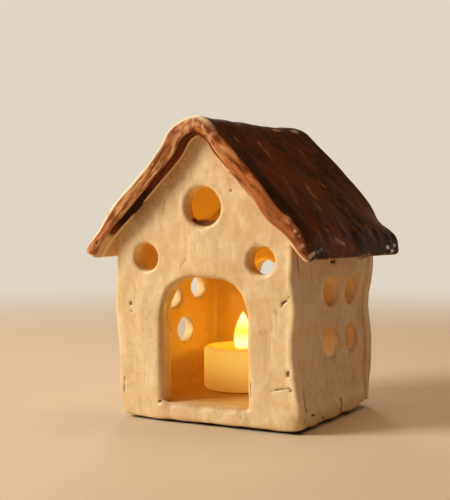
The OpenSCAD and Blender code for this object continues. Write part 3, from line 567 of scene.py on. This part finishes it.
middle = trimmed(copied("floor_slab"), (INNER_LEFT - 1 * MM, INNER_FRONT - 1 * MM, None),
                 (INNER_RIGHT + 1 * MM, INNER_BACK + 1 * MM, None))
floor = skinned("floor_inside", [middle], WALL_GRAIN, SOFT_ROUNDS)
handled(floor, [], [], [], [], 0.25 * MM, 9)
coated(floor, cream)
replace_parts(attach(floor, "house"), "floor_slab")

# The coils: thin rolls of the same clay pressed into the inside corners to hold the slabs. A fingertip has
# hollowed and smeared them, so that their edges run out into the walls and their ends run out into the
# corner.


def smeared_coil(start, along, length, first, second):
    """A closed coil in a corner of the house. Its section is a quarter circle of the coil's radius, hollow to
    the room, whose two ends and whose back lie inside the walls. The sections follow each other along the
    corner, waver by small hills, and shrink into the corner at both ends by a root of the distance from the
    end."""
    radius, sunk, around, rows = 4 * MM, 1.2 * MM, 9, max(8, int(length / (1.2 * MM)))
    start, along, first, second = (np.asarray(v, float) for v in (start, along, first, second))
    turn = np.linspace(0, math.pi / 2, around)
    across = np.concatenate([[radius * 1.25], radius * (1 - np.sin(turn)), [-0.8 * MM, -sunk]])
    up = np.concatenate([[-0.8 * MM], radius * (1 - np.cos(turn)), [radius * 1.25, -sunk]])
    share = np.linspace(0, 1, rows)
    size = np.sqrt(np.clip(np.minimum(share, 1 - share) * length / (2.5 * MM), 0.02, 1))[:, None, None]
    section = (across + sunk)[:, None] * size * first + (up + sunk)[:, None] * size * second
    rings = start + (share * length)[:, None, None] * along + section - sunk * (first + second)
    places = rings.reshape(-1, 3)
    inner = np.tile(np.concatenate([[0], np.sin(2 * turn), [0, 0]]), rows)
    waver = inner * MM * (0.3 * hills(places, 6 * MM, 61) + 0.12 * hills(places, 2.5 * MM, 62))
    places = places + waver[:, None] * (first + second)
    points = len(across)
    row, column = np.meshgrid(np.arange(rows - 1), np.arange(points), indexing="ij")
    a, b = row * points + column, row * points + (column + 1) % points
    sides = np.stack([a, b, b + points, a + points], axis=-1).reshape(-1, 4)
    ends = [list(range(points)), list(range((rows - 1) * points, rows * points))]
    if np.dot(np.cross(first, second), along) > 0:
        ends[0].reverse()
    else:
        sides = sides[:, ::-1]
        ends[1].reverse()
    return places, sides.tolist(), ends


def coils_piece(name, node, coils):
    """One piece of several coils, in the cream glaze."""
    places, faces = [], []
    for coil in coils:
        here, sides, ends = smeared_coil(*coil)
        shift = sum(len(block) for block in places)
        faces += [[corner + shift for corner in face] for face in sides + ends]
        places.append(here)
    mesh = bpy.data.meshes.new(name)
    mesh.from_pydata(np.concatenate(places).tolist(), [], faces)
    piece = bpy.data.objects.new(name, mesh)
    bpy.context.scene.collection.objects.link(piece)
    mesh.shade_smooth()
    for attribute, value in (("pitted", 0), ("stained", 0), ("inside", 1), ("worn", 0)):
        painted(piece, attribute, np.full(len(mesh.vertices), value))
    mesh.materials.append(cream)
    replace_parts(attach(piece, "house"), node)


X, Y, Z = np.eye(3)
COIL_RISE = 53.7 * MM
coils_piece("corner_coils_smeared", "corner_coils", [
    ((x, y, FLOOR_TOP), Z, COIL_RISE, first * X, second * Y)
    for x, first in ((INNER_LEFT, 1), (INNER_RIGHT, -1))
    for y, second in ((INNER_FRONT, 1), (INNER_BACK, -1))])
coils_piece("floor_coils_smeared", "floor_coils", [
    ((INNER_RIGHT, INNER_FRONT + 1 * MM, FLOOR_TOP), Y, 65 * MM, -X, Z),
    ((INNER_LEFT, INNER_FRONT + 1 * MM, FLOOR_TOP), Y, 65 * MM, X, Z),
    ((INNER_LEFT + 1 * MM, INNER_BACK, FLOOR_TOP), X, 70.5 * MM, -Y, Z),
    ((INNER_LEFT + 1 * MM, INNER_FRONT, FLOOR_TOP), X, 7.5 * MM, Y, Z),
    ((INNER_RIGHT - 7.5 * MM, INNER_FRONT, FLOOR_TOP), X, 6.5 * MM, Y, Z)])

# The roof: one thick slab of clay bent over the ridge, dipped in a dark brown glaze that ran down both
# slopes. The glaze breaks to copper on the cut front edge and leaves the underside partly cream. Pale spots
# on the ridge and the right eave, a pale line on the left slope's upper front arris and a few pale streaks on
# the ridge are painted highlights, and the underside of the left eave is painted nearly black as painted
# shade.
# Both slopes lean by about 45 degrees, so that a step along x or z is about 0.7 of itself along them.
RIDGE_TOP, LEAN = 136 * MM, 0.7
roof = skinned("roof_bent_slab", [copied("roof_slab")], 0.74 * MM, SOFT_ROUNDS)
places, outward = corners_of(roof)
x, y, z = places.T
side = np.where(x < RIDGE_X, -1, 1)
down = np.abs(x - RIDGE_X) * LEAN + (RIDGE_TOP - z) * LEAN
deep = np.abs(x - RIDGE_X) * LEAN - (RIDGE_TOP - z) * LEAN
laid = np.stack([down * side, y, deep], axis=1)
upper = np.clip((outward[:, 2] - 0.1) * 4, 0, 1)
under = np.clip((-outward[:, 2] - 0.25) * 4, 0, 1)
end_face = np.clip((np.abs(outward[:, 1]) - 0.55) * 4, 0, 1)
slope = np.abs(laid[:, 0])
rolled = (0.42 * MM * hills(laid, 17 * MM, 21) + 0.16 * MM * hills(laid, 6 * MM, 22)) * (1 - under)
rolled += upper * (0.2 * MM * hills(laid, (30 * MM, 9 * MM, 20 * MM), 23)
                   + 0.05 * MM * hills(laid, (12 * MM, 2.8 * MM, 9 * MM), 24))
rolled += upper * 0.4 * MM * np.clip((slope - 66 * MM) / (6 * MM), 0, 1) * hills(laid, 4.2 * MM, 28)
rolled += end_face * (0.5 * MM * hills(laid, (13 * MM, 5 * MM, 2.6 * MM), 25)
                      + 0.25 * MM * hills(laid, (5 * MM, 3 * MM, 1.6 * MM), 26))
rolled += (1 - under) * pressed(places, [
    ((46.5, 57, 91), (7, 13, 7), -2.6), ((53, 57, 82), (4, 9, 4), 0.7), ((30, 57, 108), (9, 12, 9), 0.4),
    ((2, 20, 136), (14, 12, 5), -0.5), ((0, 46, 136), (10, 8, 5), 0.5), ((3, 20, 135), (6, 5, 4), 0.4),
    ((20, -28, 118), (8, 10, 8), -0.5), ((36, 18, 102), (9, 16, 9), 0.6), ((50, -46, 80), (5, 6, 6), 0.6),
    ((52, 8, 80), (4, 7, 5), 0.6), ((50, -20, 84), (5, 8, 5), -0.5), ((-40, -50, 96), (9, 8, 9), 0.4),
    ((-56, -50, 80), (6, 8, 6), 0.5), ((43.2, -49, 92.3), (2.2, 4, 2.2), 1.0),
    ((46.5, -49, 87), (2, 4, 2), 0.9),
    ((49, -49, 81.5), (1.8, 4, 1.8), 0.9), ((54, -26, 83), (3, 4, 3), 0.8),
    ((57, -21, 79.5), (2.5, 4, 2.5), 0.8),
])
shift = pushed(places, RIDGE_PUSHES + [
    ((36, -50, 96), (11, 5, 10), (-1.7, 0, -1.6)), ((50, -50, 80), (9, 6, 9), (-0.5, 0, -1.2)),
    ((22, 56, 119), (12, 16, 10), (0.8, 0, 0.8)), ((60, 20, 78), (6, 20, 4), (0.9, 0, 0.6)),
])
gouges = np.zeros(len(places))
for start, end, width, depth in [
    ((12.4, -16.6, 126), (15.2, -16.8, 123.2), 0.7, 1.0),
    ((31.4, 10.5, 106.5), (33.2, 11.5, 104.6), 0.8, 0.9),
    ((21, -34, 116), (30, -37, 107), 0.7, 0.3), ((-30, -10, 107), (-40, -12, 97), 0.8, 0.4),
    ((-30.5, -49.5, 102), (-34, -49.5, 98.5), 0.6, 0.5), ((-52.5, -49.5, 82), (-53.5, -49.5, 80.4), 0.6, 0.9),
]:
    gouge = scratched(places, start, end, width)
    rolled -= depth * MM * gouge
    gouges = np.maximum(gouges, gouge * depth)
# Pale streaks of glaze down the slopes. The three along the ridge top, at z 134 to 136, are painted
# highlights.
STREAKS_AND_RIDGE_HIGHLIGHTS = [
    ((12.1, -15.2, 126.5), (19.3, -16.6, 119.1), 0.6, 1.0),
    ((11.8, -37.2, 126.8), (12.6, -37.2, 126.0), 0.9, 0.7),
    ((26.8, -20.9, 111.3), (34.2, -27.2, 103.7), 0.7, 0.6), ((35.5, -30, 102.4), (39.6, -32.9, 98), 0.5, 0.8),
    ((30, -4.2, 108), (36.6, -7.9, 101.1), 0.9, 0.8), ((38.8, -13.9, 98.9), (42.7, -13.9, 94.9), 0.8, 0.6),
    ((28.8, 14.6, 109.2), (32, 15.5, 105.9), 0.5, 0.9), ((14, 25.5, 124.6), (16.9, 23.7, 121.5), 0.6, 0.5),
    ((49.6, -23.5, 88), (50, -23.5, 87), 0.6, 0.9), ((32.9, 18.2, 105), (36.6, 16.8, 101.2), 0.6, 0.5),
    ((41.1, 16.9, 96.5), (41.6, 16.9, 96), 0.7, 0.8), ((48.4, 23.9, 89), (52.4, 22.6, 84.8), 1.2, 0.6),
    ((50.5, -42.5, 86.8), (53.8, -39.5, 83.4), 0.7, 0.5), ((3, -33, 135.9), (3, -25, 135.9), 0.8, 0.8),
    ((4.5, 16, 134.4), (4.5, 23, 134.4), 0.8, 0.9), ((4.3, 38, 134.7), (4.3, 43, 134.7), 1.1, 1.0),
    ((-18, -20, 124), (-28, -22, 114), 0.8, 0.6), ((-24, 18, 118), (-36, 20, 106), 0.7, 0.7),
    ((-44, 2, 98), (-52, 4, 89), 0.8, 0.6), ((-12, 34, 130), (-20, 36, 122), 0.6, 0.6),
]
placed(roof, places + outward * rolled[:, None] + shift)
painted(roof, "gouged", gouges)
painted(roof, "streaked", strongest(places, STREAKS_AND_RIDGE_HIGHLIGHTS, 1.9))
# Painted highlights: pale spots on the ridge and the right eave, each with a start, an end, a width and a
# strength. They are also made glossy.
PAINTED_HIGHLIGHTS = [
    ((4.6, 17, 134.4), (4.5, 22.5, 134.4), 0.8, 1), ((4.3, 37, 134.7), (4.3, 43, 134.7), 1.1, 1),
    ((52, -48, 77.4), (51.8, -44, 78.4), 1.1, 1), ((51.8, -41, 78.3), (51.8, -36, 79.3), 0.8, 1),
    ((53.8, 38, 77.6), (53.8, 41, 77.2), 0.9, 1), ((53.8, 44, 75.4), (53.8, 46.5, 75.4), 1.0, 1),
    ((53.8, 48, 77.9), (53.6, 49.5, 78), 0.8, 1), ((43.6, -49.5, 91.9), (44, -49.5, 91.4), 0.6, 1),
    ((46.4, -49.5, 88.1), (46.6, -49.5, 87.9), 0.6, 1), ((50, -49.5, 82.4), (50.2, -49.5, 82.0), 0.8, 1),
    ((48.2, -49.5, 86.1), (48.3, -49.5, 86), 0.5, 1), ((51, -19, 82.8), (51.5, -11, 80.4), 1.7, 0.45),
    ((52, -44, 75.4), (52.2, -34, 75.8), 0.5, 0.45), ((53, 2, 75.6), (53.4, 16, 75), 0.6, 0.5),
    ((52, -14, 76), (52.2, -8, 75.8), 0.6, 0.45),
]
painted(roof, "glinted", strongest(places, PAINTED_HIGHLIGHTS))
painted(roof, "worn", bend_of(roof))
painted(roof, "under", under)
front_facing, facing_up = -outward[:, 1], outward[:, 2]
painted(roof, "high_arris", np.clip((front_facing - 0.1) * 5, 0, 1) * np.clip((facing_up - 0.14) * 5, 0, 1))
painted(roof, "low_arris", np.clip((front_facing - 0.2) * 4, 0, 1) * np.clip((-facing_up - 0.12) * 4, 0, 1))
strip_start = y + 44.6 * MM + 0.9 * MM * hills(laid, 7 * MM, 29)
painted(roof, "near_wall", np.clip(strip_start / (0.8 * MM), 0, 1)
        * np.clip((FRONT_Y + 0.6 * MM - y) / (0.6 * MM), 0, 1))
painted(roof, "overhang", np.clip((FRONT_Y + 0.5 * MM - y) / (1.5 * MM), 0, 1))
painted(roof, "front_edge", np.clip((-outward[:, 1] - 0.35) * 3, 0, 1))
painted(roof, "back_edge", np.clip((outward[:, 1] - 0.35) * 3, 0, 1))
laid_store = roof.data.attributes.new("laid", "FLOAT_VECTOR", "POINT").data
laid_store.foreach_set("vector", laid.ravel().astype(np.float32))

brown, brown_shader, at = finish_named("brown_glaze", IOR=1.13, Coat_Roughness=0.12,
                                       Specular_Tint=(1.0, 0.66, 0.42, 1.0))
lay = at.stored("laid", out="Vector")
parts = at.node("ShaderNodeSeparateXYZ", in0=lay)
down, along, deep = (Wire(at.tree, parts.outputs[axis]) for axis in "XYZ")
bands = lay.stretched(0.3, 1, 1).noise(80, 2, 0.5)
runs = lay.stretched(0.18, 1, 1).noise(330, 3, 0.55)
patches = lay.noise(36, 2)
mottle = at.noise(260, 4, 0.62)
grit = at.noise(1100, 2)
DARK_BROWN, MID_BROWN, RED_BROWN = tone(42, 23, 9), tone(88, 50, 21), tone(106, 48, 18)
COPPER, COPPER_DARK = tone(196, 118, 64), tone(112, 58, 30)
top = (bands * 0.35 + mottle * 0.65).span(0.38, 0.62).blend(DARK_BROWN, MID_BROWN)
top = (patches.span(0.46, 0.64) * 0.7 * down.span(8 * MM, 20 * MM)).blend(top, RED_BROWN)
top = ((patches * 0.4 + mottle * 0.6).span(0.44, 0.34) * 0.6).blend(top, tone(40, 26, 13))
top = (runs.span(0.58, 0.72) * mottle.span(0.45, 0.6) * 0.5).blend(top, tone(124, 82, 46))
front_slope = along.span(-20 * MM, -40 * MM) * down.span(6 * MM, 14 * MM)
top = (front_slope * bands.span(0.6, 0.45) * 0.4).blend(top, tone(40, 24, 12))
top = (at.stored("worn").span(0.05, 0.22) * 0.7).blend(top, COPPER_DARK)
top = (down.span(69 * MM, 75 * MM) * patches.span(0.62, 0.4) * 0.85).blend(top, tone(34, 19, 10))
top = (down.span(69 * MM, 75 * MM) * mottle.span(0.58, 0.68) * 0.6).blend(top, tone(140, 74, 44))
# Pale streaks of glaze, and painted highlights on the ridge.
top = (at.stored("streaked").span(0.1, 0.8) * mottle.span(0.34, 0.5)).blend(top, tone(152, 108, 70))
smears = lay.stretched(0.16, 1, 1).noise(520, 3, 0.6)
blobs = lay.stretched(0.5, 1, 1).noise(170, 2)
threads = lay.stretched(0.1, 1, 1).noise(900, 2, 0.6)
left_side = down.span(4 * MM, -14 * MM)
edge_dark = left_side.blend(tone(120, 58, 28), tone(138, 76, 40))
edge_light = left_side.blend(COPPER, tone(188, 126, 72))
edge = (smears * 0.7 + blobs * 0.3).span(0.44, 0.56).blend(edge_dark, edge_light)
edge = (smears.span(0.54, 0.62) * down.span(46 * MM, 12 * MM) * 0.8).blend(edge, tone(216, 158, 104))
edge = (threads.span(0.5, 0.38) * (0.35 + 0.4 * left_side)).blend(edge, tone(104, 50, 24))
peak = down.span(-16 * MM, -4 * MM) * down.span(18 * MM, 6 * MM)
edge = (peak * mottle.span(0.5, 0.58) * 0.8).blend(edge, tone(222, 158, 116))
edge = (peak * mottle.span(0.45, 0.38) * 0.85).blend(edge, tone(104, 46, 24))
left_tip = smears.span(0.4, 0.6).blend(tone(168, 88, 52), tone(220, 152, 106))
edge = (down.span(-63 * MM, -68 * MM) * 0.85).blend(edge, left_tip)
edge = (down.span(40 * MM, 56 * MM) * 0.6).blend(edge, tone(152, 84, 42))
left_low = down.span(-46 * MM, -54 * MM) * down.span(-64 * MM, -60 * MM)
edge = (left_low * smears.span(0.56, 0.46) * 0.7).blend(edge, tone(120, 52, 28))
edge = (deep.span(-3 * MM, -7.5 * MM) * blobs.span(0.62, 0.4) * 0.7).blend(edge, COPPER_DARK)
# Paler on the cut edge's outward bends, partly glaze breaking and partly painted highlight.
edge = (at.stored("worn").span(0.05, 0.2) * 0.5).blend(edge, tone(234, 180, 132))
below = (smears * 0.5 + mottle * 0.5).span(0.4, 0.6).blend(tone(80, 38, 18), tone(122, 62, 34))
# Painted shade: the underside of the left eave, from about 42 to 60 mm down the slope, is nearly black.
left_eave_shade = down.span(-33 * MM, -42 * MM) * down.span(-66 * MM, -60 * MM)
below = (left_eave_shade * 0.9).blend(below, tone(42, 22, 18))
below = down.span(-66 * MM, -70 * MM).blend(below, tone(222, 184, 132))
strip_gap = down.span(-45 * MM, -48 * MM) * down.span(-56 * MM, -53 * MM)
below = (at.stored("near_wall") * (1 - strip_gap)).blend(below, tone(250, 222, 184))
below = at.stored("overhang").blend(CREAM_DEEP, below)
right_eave = mottle.span(0.5, 0.6).blend(tone(58, 30, 16), tone(196, 138, 104))
below = (down.span(60 * MM, 62 * MM) * 0.9).blend(below, right_eave)
back_face = mottle.span(0.45, 0.7).blend(MID_BROWN, COPPER_DARK)
colour = at.stored("front_edge").span(0.1, 0.75).blend(top, edge)
colour = at.stored("back_edge").span(0.1, 0.9).blend(colour, back_face)
colour = at.stored("under").span(0.1, 0.8).blend(colour, below)
# Painted highlight: a pale line on the upper front arris of the left slope and over the ridge.
arris_highlight = at.stored("high_arris") * down.span(12 * MM, 4 * MM) * smears.span(0.26, 0.38)
colour = arris_highlight.blend(colour, tone(252, 226, 186))
colour = (at.stored("low_arris") * down.span(40 * MM, 46 * MM)).blend(colour, tone(240, 200, 156))
# Painted highlights on the ridge and the right eave.
colour = (at.stored("glinted").span(0.1, 0.75) * mottle.span(0.34, 0.5)).blend(colour, tone(224, 194, 172))
colour = at.stored("gouged").span(0.3, 0.9).blend(colour, tone(26, 14, 8))
at.feed(brown_shader.inputs["Base Color"], colour)
highlight_gloss = at.stored("glinted").span(0.1, 0.6)
underneath, cut_edge = at.stored("under"), at.stored("front_edge")
at.feed(brown_shader.inputs["Roughness"], 0.42 + 0.2 * mottle + 0.1 * underneath - 0.28 * highlight_gloss)
at.feed(brown_shader.inputs["Coat Weight"], 0.02 + 0.6 * highlight_gloss * (1 - underneath))
relief = 0.35 * runs + 0.6 * mottle * (0.6 + cut_edge) + 0.15 * grit + 0.3 * smears * cut_edge
at.bump(brown_shader, 0.45, 0.4 * MM, relief)
coated(roof, brown)
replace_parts(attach(roof, "house"), "roof_slab")

# The tealight's case and flame: moulded plastic, ivory and a soft clear white. The flame glows with the
# bulb's light; the case's glow from the bulb inside is painted light, an emission.
TEALIGHT_AT = (-9.3 * MM, 10.6 * MM)
ivory, ivory_shader, at = finish_named("ivory_case", Roughness=0.42, IOR=1.46)
spot = at.node("ShaderNodeSeparateXYZ", in0=at)
away_x, away_y = (Wire(at.tree, spot.outputs[axis]) - middle for axis, middle in zip("XY", TEALIGHT_AT))
height_up = Wire(at.tree, spot.outputs["Z"])
squared = away_x * away_x + away_y * away_y
away = squared.maths("SQRT", squared)
side_face = away.span(17 * MM, 18.4 * MM)
case_colour = at.noise(60, 2).span(0.3, 0.7).blend(tone(250, 226, 178), tone(255, 236, 196))
# Painted shade: the deck is darker and warmer towards the flame, where the bulb's light falls strongest.
deck_shade = away.span(17 * MM, 4 * MM) * height_up.span(24 * MM, 27 * MM)
case_colour = deck_shade.blend(case_colour, tone(232, 172, 104))
at.feed(ivory_shader.inputs["Base Color"], case_colour)
# Painted light: the case glows orange low on its side and yellow at the top, and dimly on the deck.
case_glow = height_up.span(9 * MM, 26 * MM).blend(tone(196, 130, 44), tone(255, 204, 84))
at.feed(ivory_shader.inputs["Emission Color"], side_face.blend(tone(130, 96, 12), case_glow))
ivory_shader.inputs["Emission Strength"].default_value = 0.55
at.bump(ivory_shader, 0.15, 0.1 * MM, at.noise(900, 2))

glow, glow_shader, at = finish_named("flame_plastic", Roughness=0.35, IOR=1.46)
FLAME_LOW, FLAME_TOP = 27 * MM, 46.7 * MM
height_up = Wire(at.tree, at.node("ShaderNodeSeparateXYZ", in0=at).outputs["Z"])
flame_colour = at.made("ShaderNodeValToRGB", {"stops": [
    (0.0, tone(255, 222, 90)[:3]), (0.2, tone(255, 255, 205)[:3]), (0.36, tone(252, 255, 150)[:3]),
    (0.52, tone(250, 255, 70)[:3]), (0.7, tone(255, 255, 170)[:3]), (0.86, tone(255, 255, 215)[:3]),
    (1.0, tone(255, 236, 120)[:3])]}, Fac=(height_up - FLAME_LOW) / (FLAME_TOP - FLAME_LOW))
rim = at.made("ShaderNodeLayerWeight", out="Facing", Blend=0.5).span(0.45, 0.95)
flame_colour = rim.blend(flame_colour, tone(255, 200, 40))
at.feed(glow_shader.inputs["Base Color"], flame_colour)
at.feed(glow_shader.inputs["Emission Color"], flame_colour)
glow_shader.inputs["Emission Strength"].default_value = 1.0

coated(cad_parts["tealight_case"], ivory)
coated(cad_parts["flame_lens"], glow)

# The tealight's works and underside: white base and cover, clear bulb on tinned legs, steel cell, brass
# contacts, sleeved wire, and the slide switch with its black knob. They show when the tealight is out or
# turned over.


def plain_finish(name, first, second, scale, roughness, metallic=0.0, bump=0.1):
    """A simple finish: two close colours in fine noise, with the same noise in its roughness and a slight
    bump."""
    material, shader, at = finish_named(name, Metallic=metallic)
    grain = at.noise(scale, 3)
    at.feed(shader.inputs["Base Color"], grain.span(0.3, 0.7).blend(first, second))
    at.feed(shader.inputs["Roughness"], roughness + 0.15 * grain)
    at.bump(shader, bump, 0.1 * MM, grain)
    return material


white_plastic = plain_finish("white_plastic", tone(232, 228, 216), tone(242, 239, 230), 700, 0.38)
steel = plain_finish("cell_steel", tone(178, 180, 182), tone(205, 206, 206), 1500, 0.22, 1.0)
brass = plain_finish("contact_brass", tone(190, 150, 78), tone(214, 176, 100), 1200, 0.26, 1.0)
tinned = plain_finish("tinned_wire", tone(190, 190, 186), tone(214, 214, 210), 1800, 0.25, 1.0)
sleeve = plain_finish("wire_sleeve", tone(150, 34, 28), tone(176, 44, 34), 900, 0.42)
black_plastic = plain_finish("black_plastic", tone(26, 26, 27), tone(38, 38, 40), 1100, 0.4)
clear_epoxy = plain_finish("clear_epoxy", tone(250, 244, 214), tone(255, 250, 228), 500, 0.12, bump=0.03)
for node, material in {
    "base_plate": white_plastic, "battery_cover": white_plastic, "led_bulb": clear_epoxy, "led_legs": tinned,
    "coin_cell": steel, "contact_spring": brass, "contact_tab": brass, "jumper_wire": sleeve,
    "switch_case": steel, "switch_pins": tinned, "switch_wiper": brass, "switch_knob": black_plastic,
}.items():
    coated(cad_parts[node], material)

# The bulb's light: warm, from inside the flame, with a wide beam up through its lens. Both lights go with the
# tealight.
lamp = bpy.data.lights.new("flame_light", "POINT")
lamp.energy, lamp.color, lamp.shadow_soft_size = 0.0135, (1.0, 0.56, 0.01), 3 * MM
beam = bpy.data.lights.new("flame_beam", "SPOT")
beam.energy, beam.color, beam.shadow_soft_size = 0.045, (1.0, 0.62, 0.01), 3 * MM
beam.spot_size, beam.spot_blend = math.radians(120), 1.0
for light in (lamp, beam):
    holder = bpy.data.objects.new(light.name, light)
    holder.location, holder.rotation_euler = (*TEALIGHT_AT, 36.5 * MM), (math.pi, 0, 0)
    bpy.context.scene.collection.objects.link(holder)
    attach(holder, "tealight")
for node in ("flame_lens", "led_bulb"):
    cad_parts[node].visible_shadow = False

# The studio: a plain pale floor that runs into a pale backdrop far behind, a soft lamp from the front left, a
# broad one overhead, weak ones from behind, and a dim warm sky.
BACKDROP, DIM = tone(224, 213, 196), tone(48, 27, 10)
floor_mesh = bpy.data.meshes.new("studio_floor")
floor_mesh.from_pydata([(-6, -6, 0), (6, -6, 0), (6, 6, 0), (-6, 6, 0)], [], [(0, 1, 2, 3)])
studio_floor = bpy.data.objects.new("studio_floor", floor_mesh)
bpy.context.scene.collection.objects.link(studio_floor)
pale, pale_shader, at = finish_named("pale_floor", Roughness=0.7)


def seen(at):
    """1 for rays from the camera, from glossy surfaces and through clear ones, else 0."""
    rays = at.node("ShaderNodeLightPath")
    camera_ray, glossy, clear = (Wire(at.tree, rays.outputs[f"Is {kind} Ray"])
                                 for kind in ("Camera", "Glossy", "Transmission"))
    return (camera_ray + glossy).larger(clear)


at.feed(pale_shader.inputs["Base Color"], at.noise(3, 2).blend(tone(226, 204, 170), tone(231, 210, 178)))
far = at.made("ShaderNodeVectorMath", {"operation": "LENGTH"}, out="Value", in0=at).span(0.28, 0.8)
glowing = at.node("ShaderNodeEmission", Color=BACKDROP)
mixed = at.node("ShaderNodeMixShader", in0=far * seen(at))
at.tree.links.new(pale_shader.outputs[0], mixed.inputs[1])
at.tree.links.new(glowing.outputs[0], mixed.inputs[2])
at.tree.links.new(mixed.outputs[0], at.tree.nodes["Material Output"].inputs["Surface"])
floor_mesh.materials.append(pale)

world = bpy.data.worlds.new("studio")
bpy.context.scene.world = world
world.use_nodes = True
sky = Wire(world.node_tree, world.node_tree.nodes.new("ShaderNodeTexCoord").outputs["Generated"])
above = Wire(world.node_tree, sky.node("ShaderNodeSeparateXYZ", in0=sky).outputs["Z"]).span(0.2, 0.4)
backdrop = world.node_tree.nodes["Background"]
sky.feed(backdrop.inputs["Color"], seen(sky).blend(DIM, above.blend(BACKDROP, tone(52, 42, 32))))
backdrop.inputs["Strength"].default_value = 1.0


def soft_lamp(name, spot, aim, width, watts, colour):
    """A square soft lamp at a spot, turned to a point of the object."""
    light = bpy.data.lights.new(name, "AREA")
    light.size, light.energy, light.color = width, watts, colour
    holder = bpy.data.objects.new(name, light)
    holder.location = spot
    holder.rotation_euler = (Vector(aim) - Vector(spot)).to_track_quat("-Z", "Y").to_euler()
    bpy.context.scene.collection.objects.link(holder)


soft_lamp("key", (-0.8, -0.7, 0.6), (0, 0, 0.06), 0.5, 14.8, (1.0, 0.97, 0.88))
soft_lamp("overhead", (0.12, 0.2, 1.0), (0, 0, 0.06), 0.6, 3.4, (1.0, 0.68, 0.38))
soft_lamp("rim", (-0.5, 0.8, 0.6), (0, 0, 0.09), 0.25, 1.6, (1.0, 0.96, 0.9))
soft_lamp("glint", (0.75, 0.32, 0.62), (0, 0, 0.09), 0.1, 0.5, (1.0, 0.96, 0.9))

camera = bpy.data.cameras.new("camera")
camera.lens, camera.sensor_width = 80.48, 36
camera.clip_start, camera.clip_end = 0.01, 30
viewer = bpy.data.objects.new("camera", camera)
viewer.location = (0.2396, -0.4713, 0.09925)
viewer.rotation_euler = (math.radians(87.55), 0, math.radians(28.25))
bpy.context.scene.collection.objects.link(viewer)
bpy.context.scene.camera = viewer
bpy.context.scene.view_settings.view_transform = "Standard"
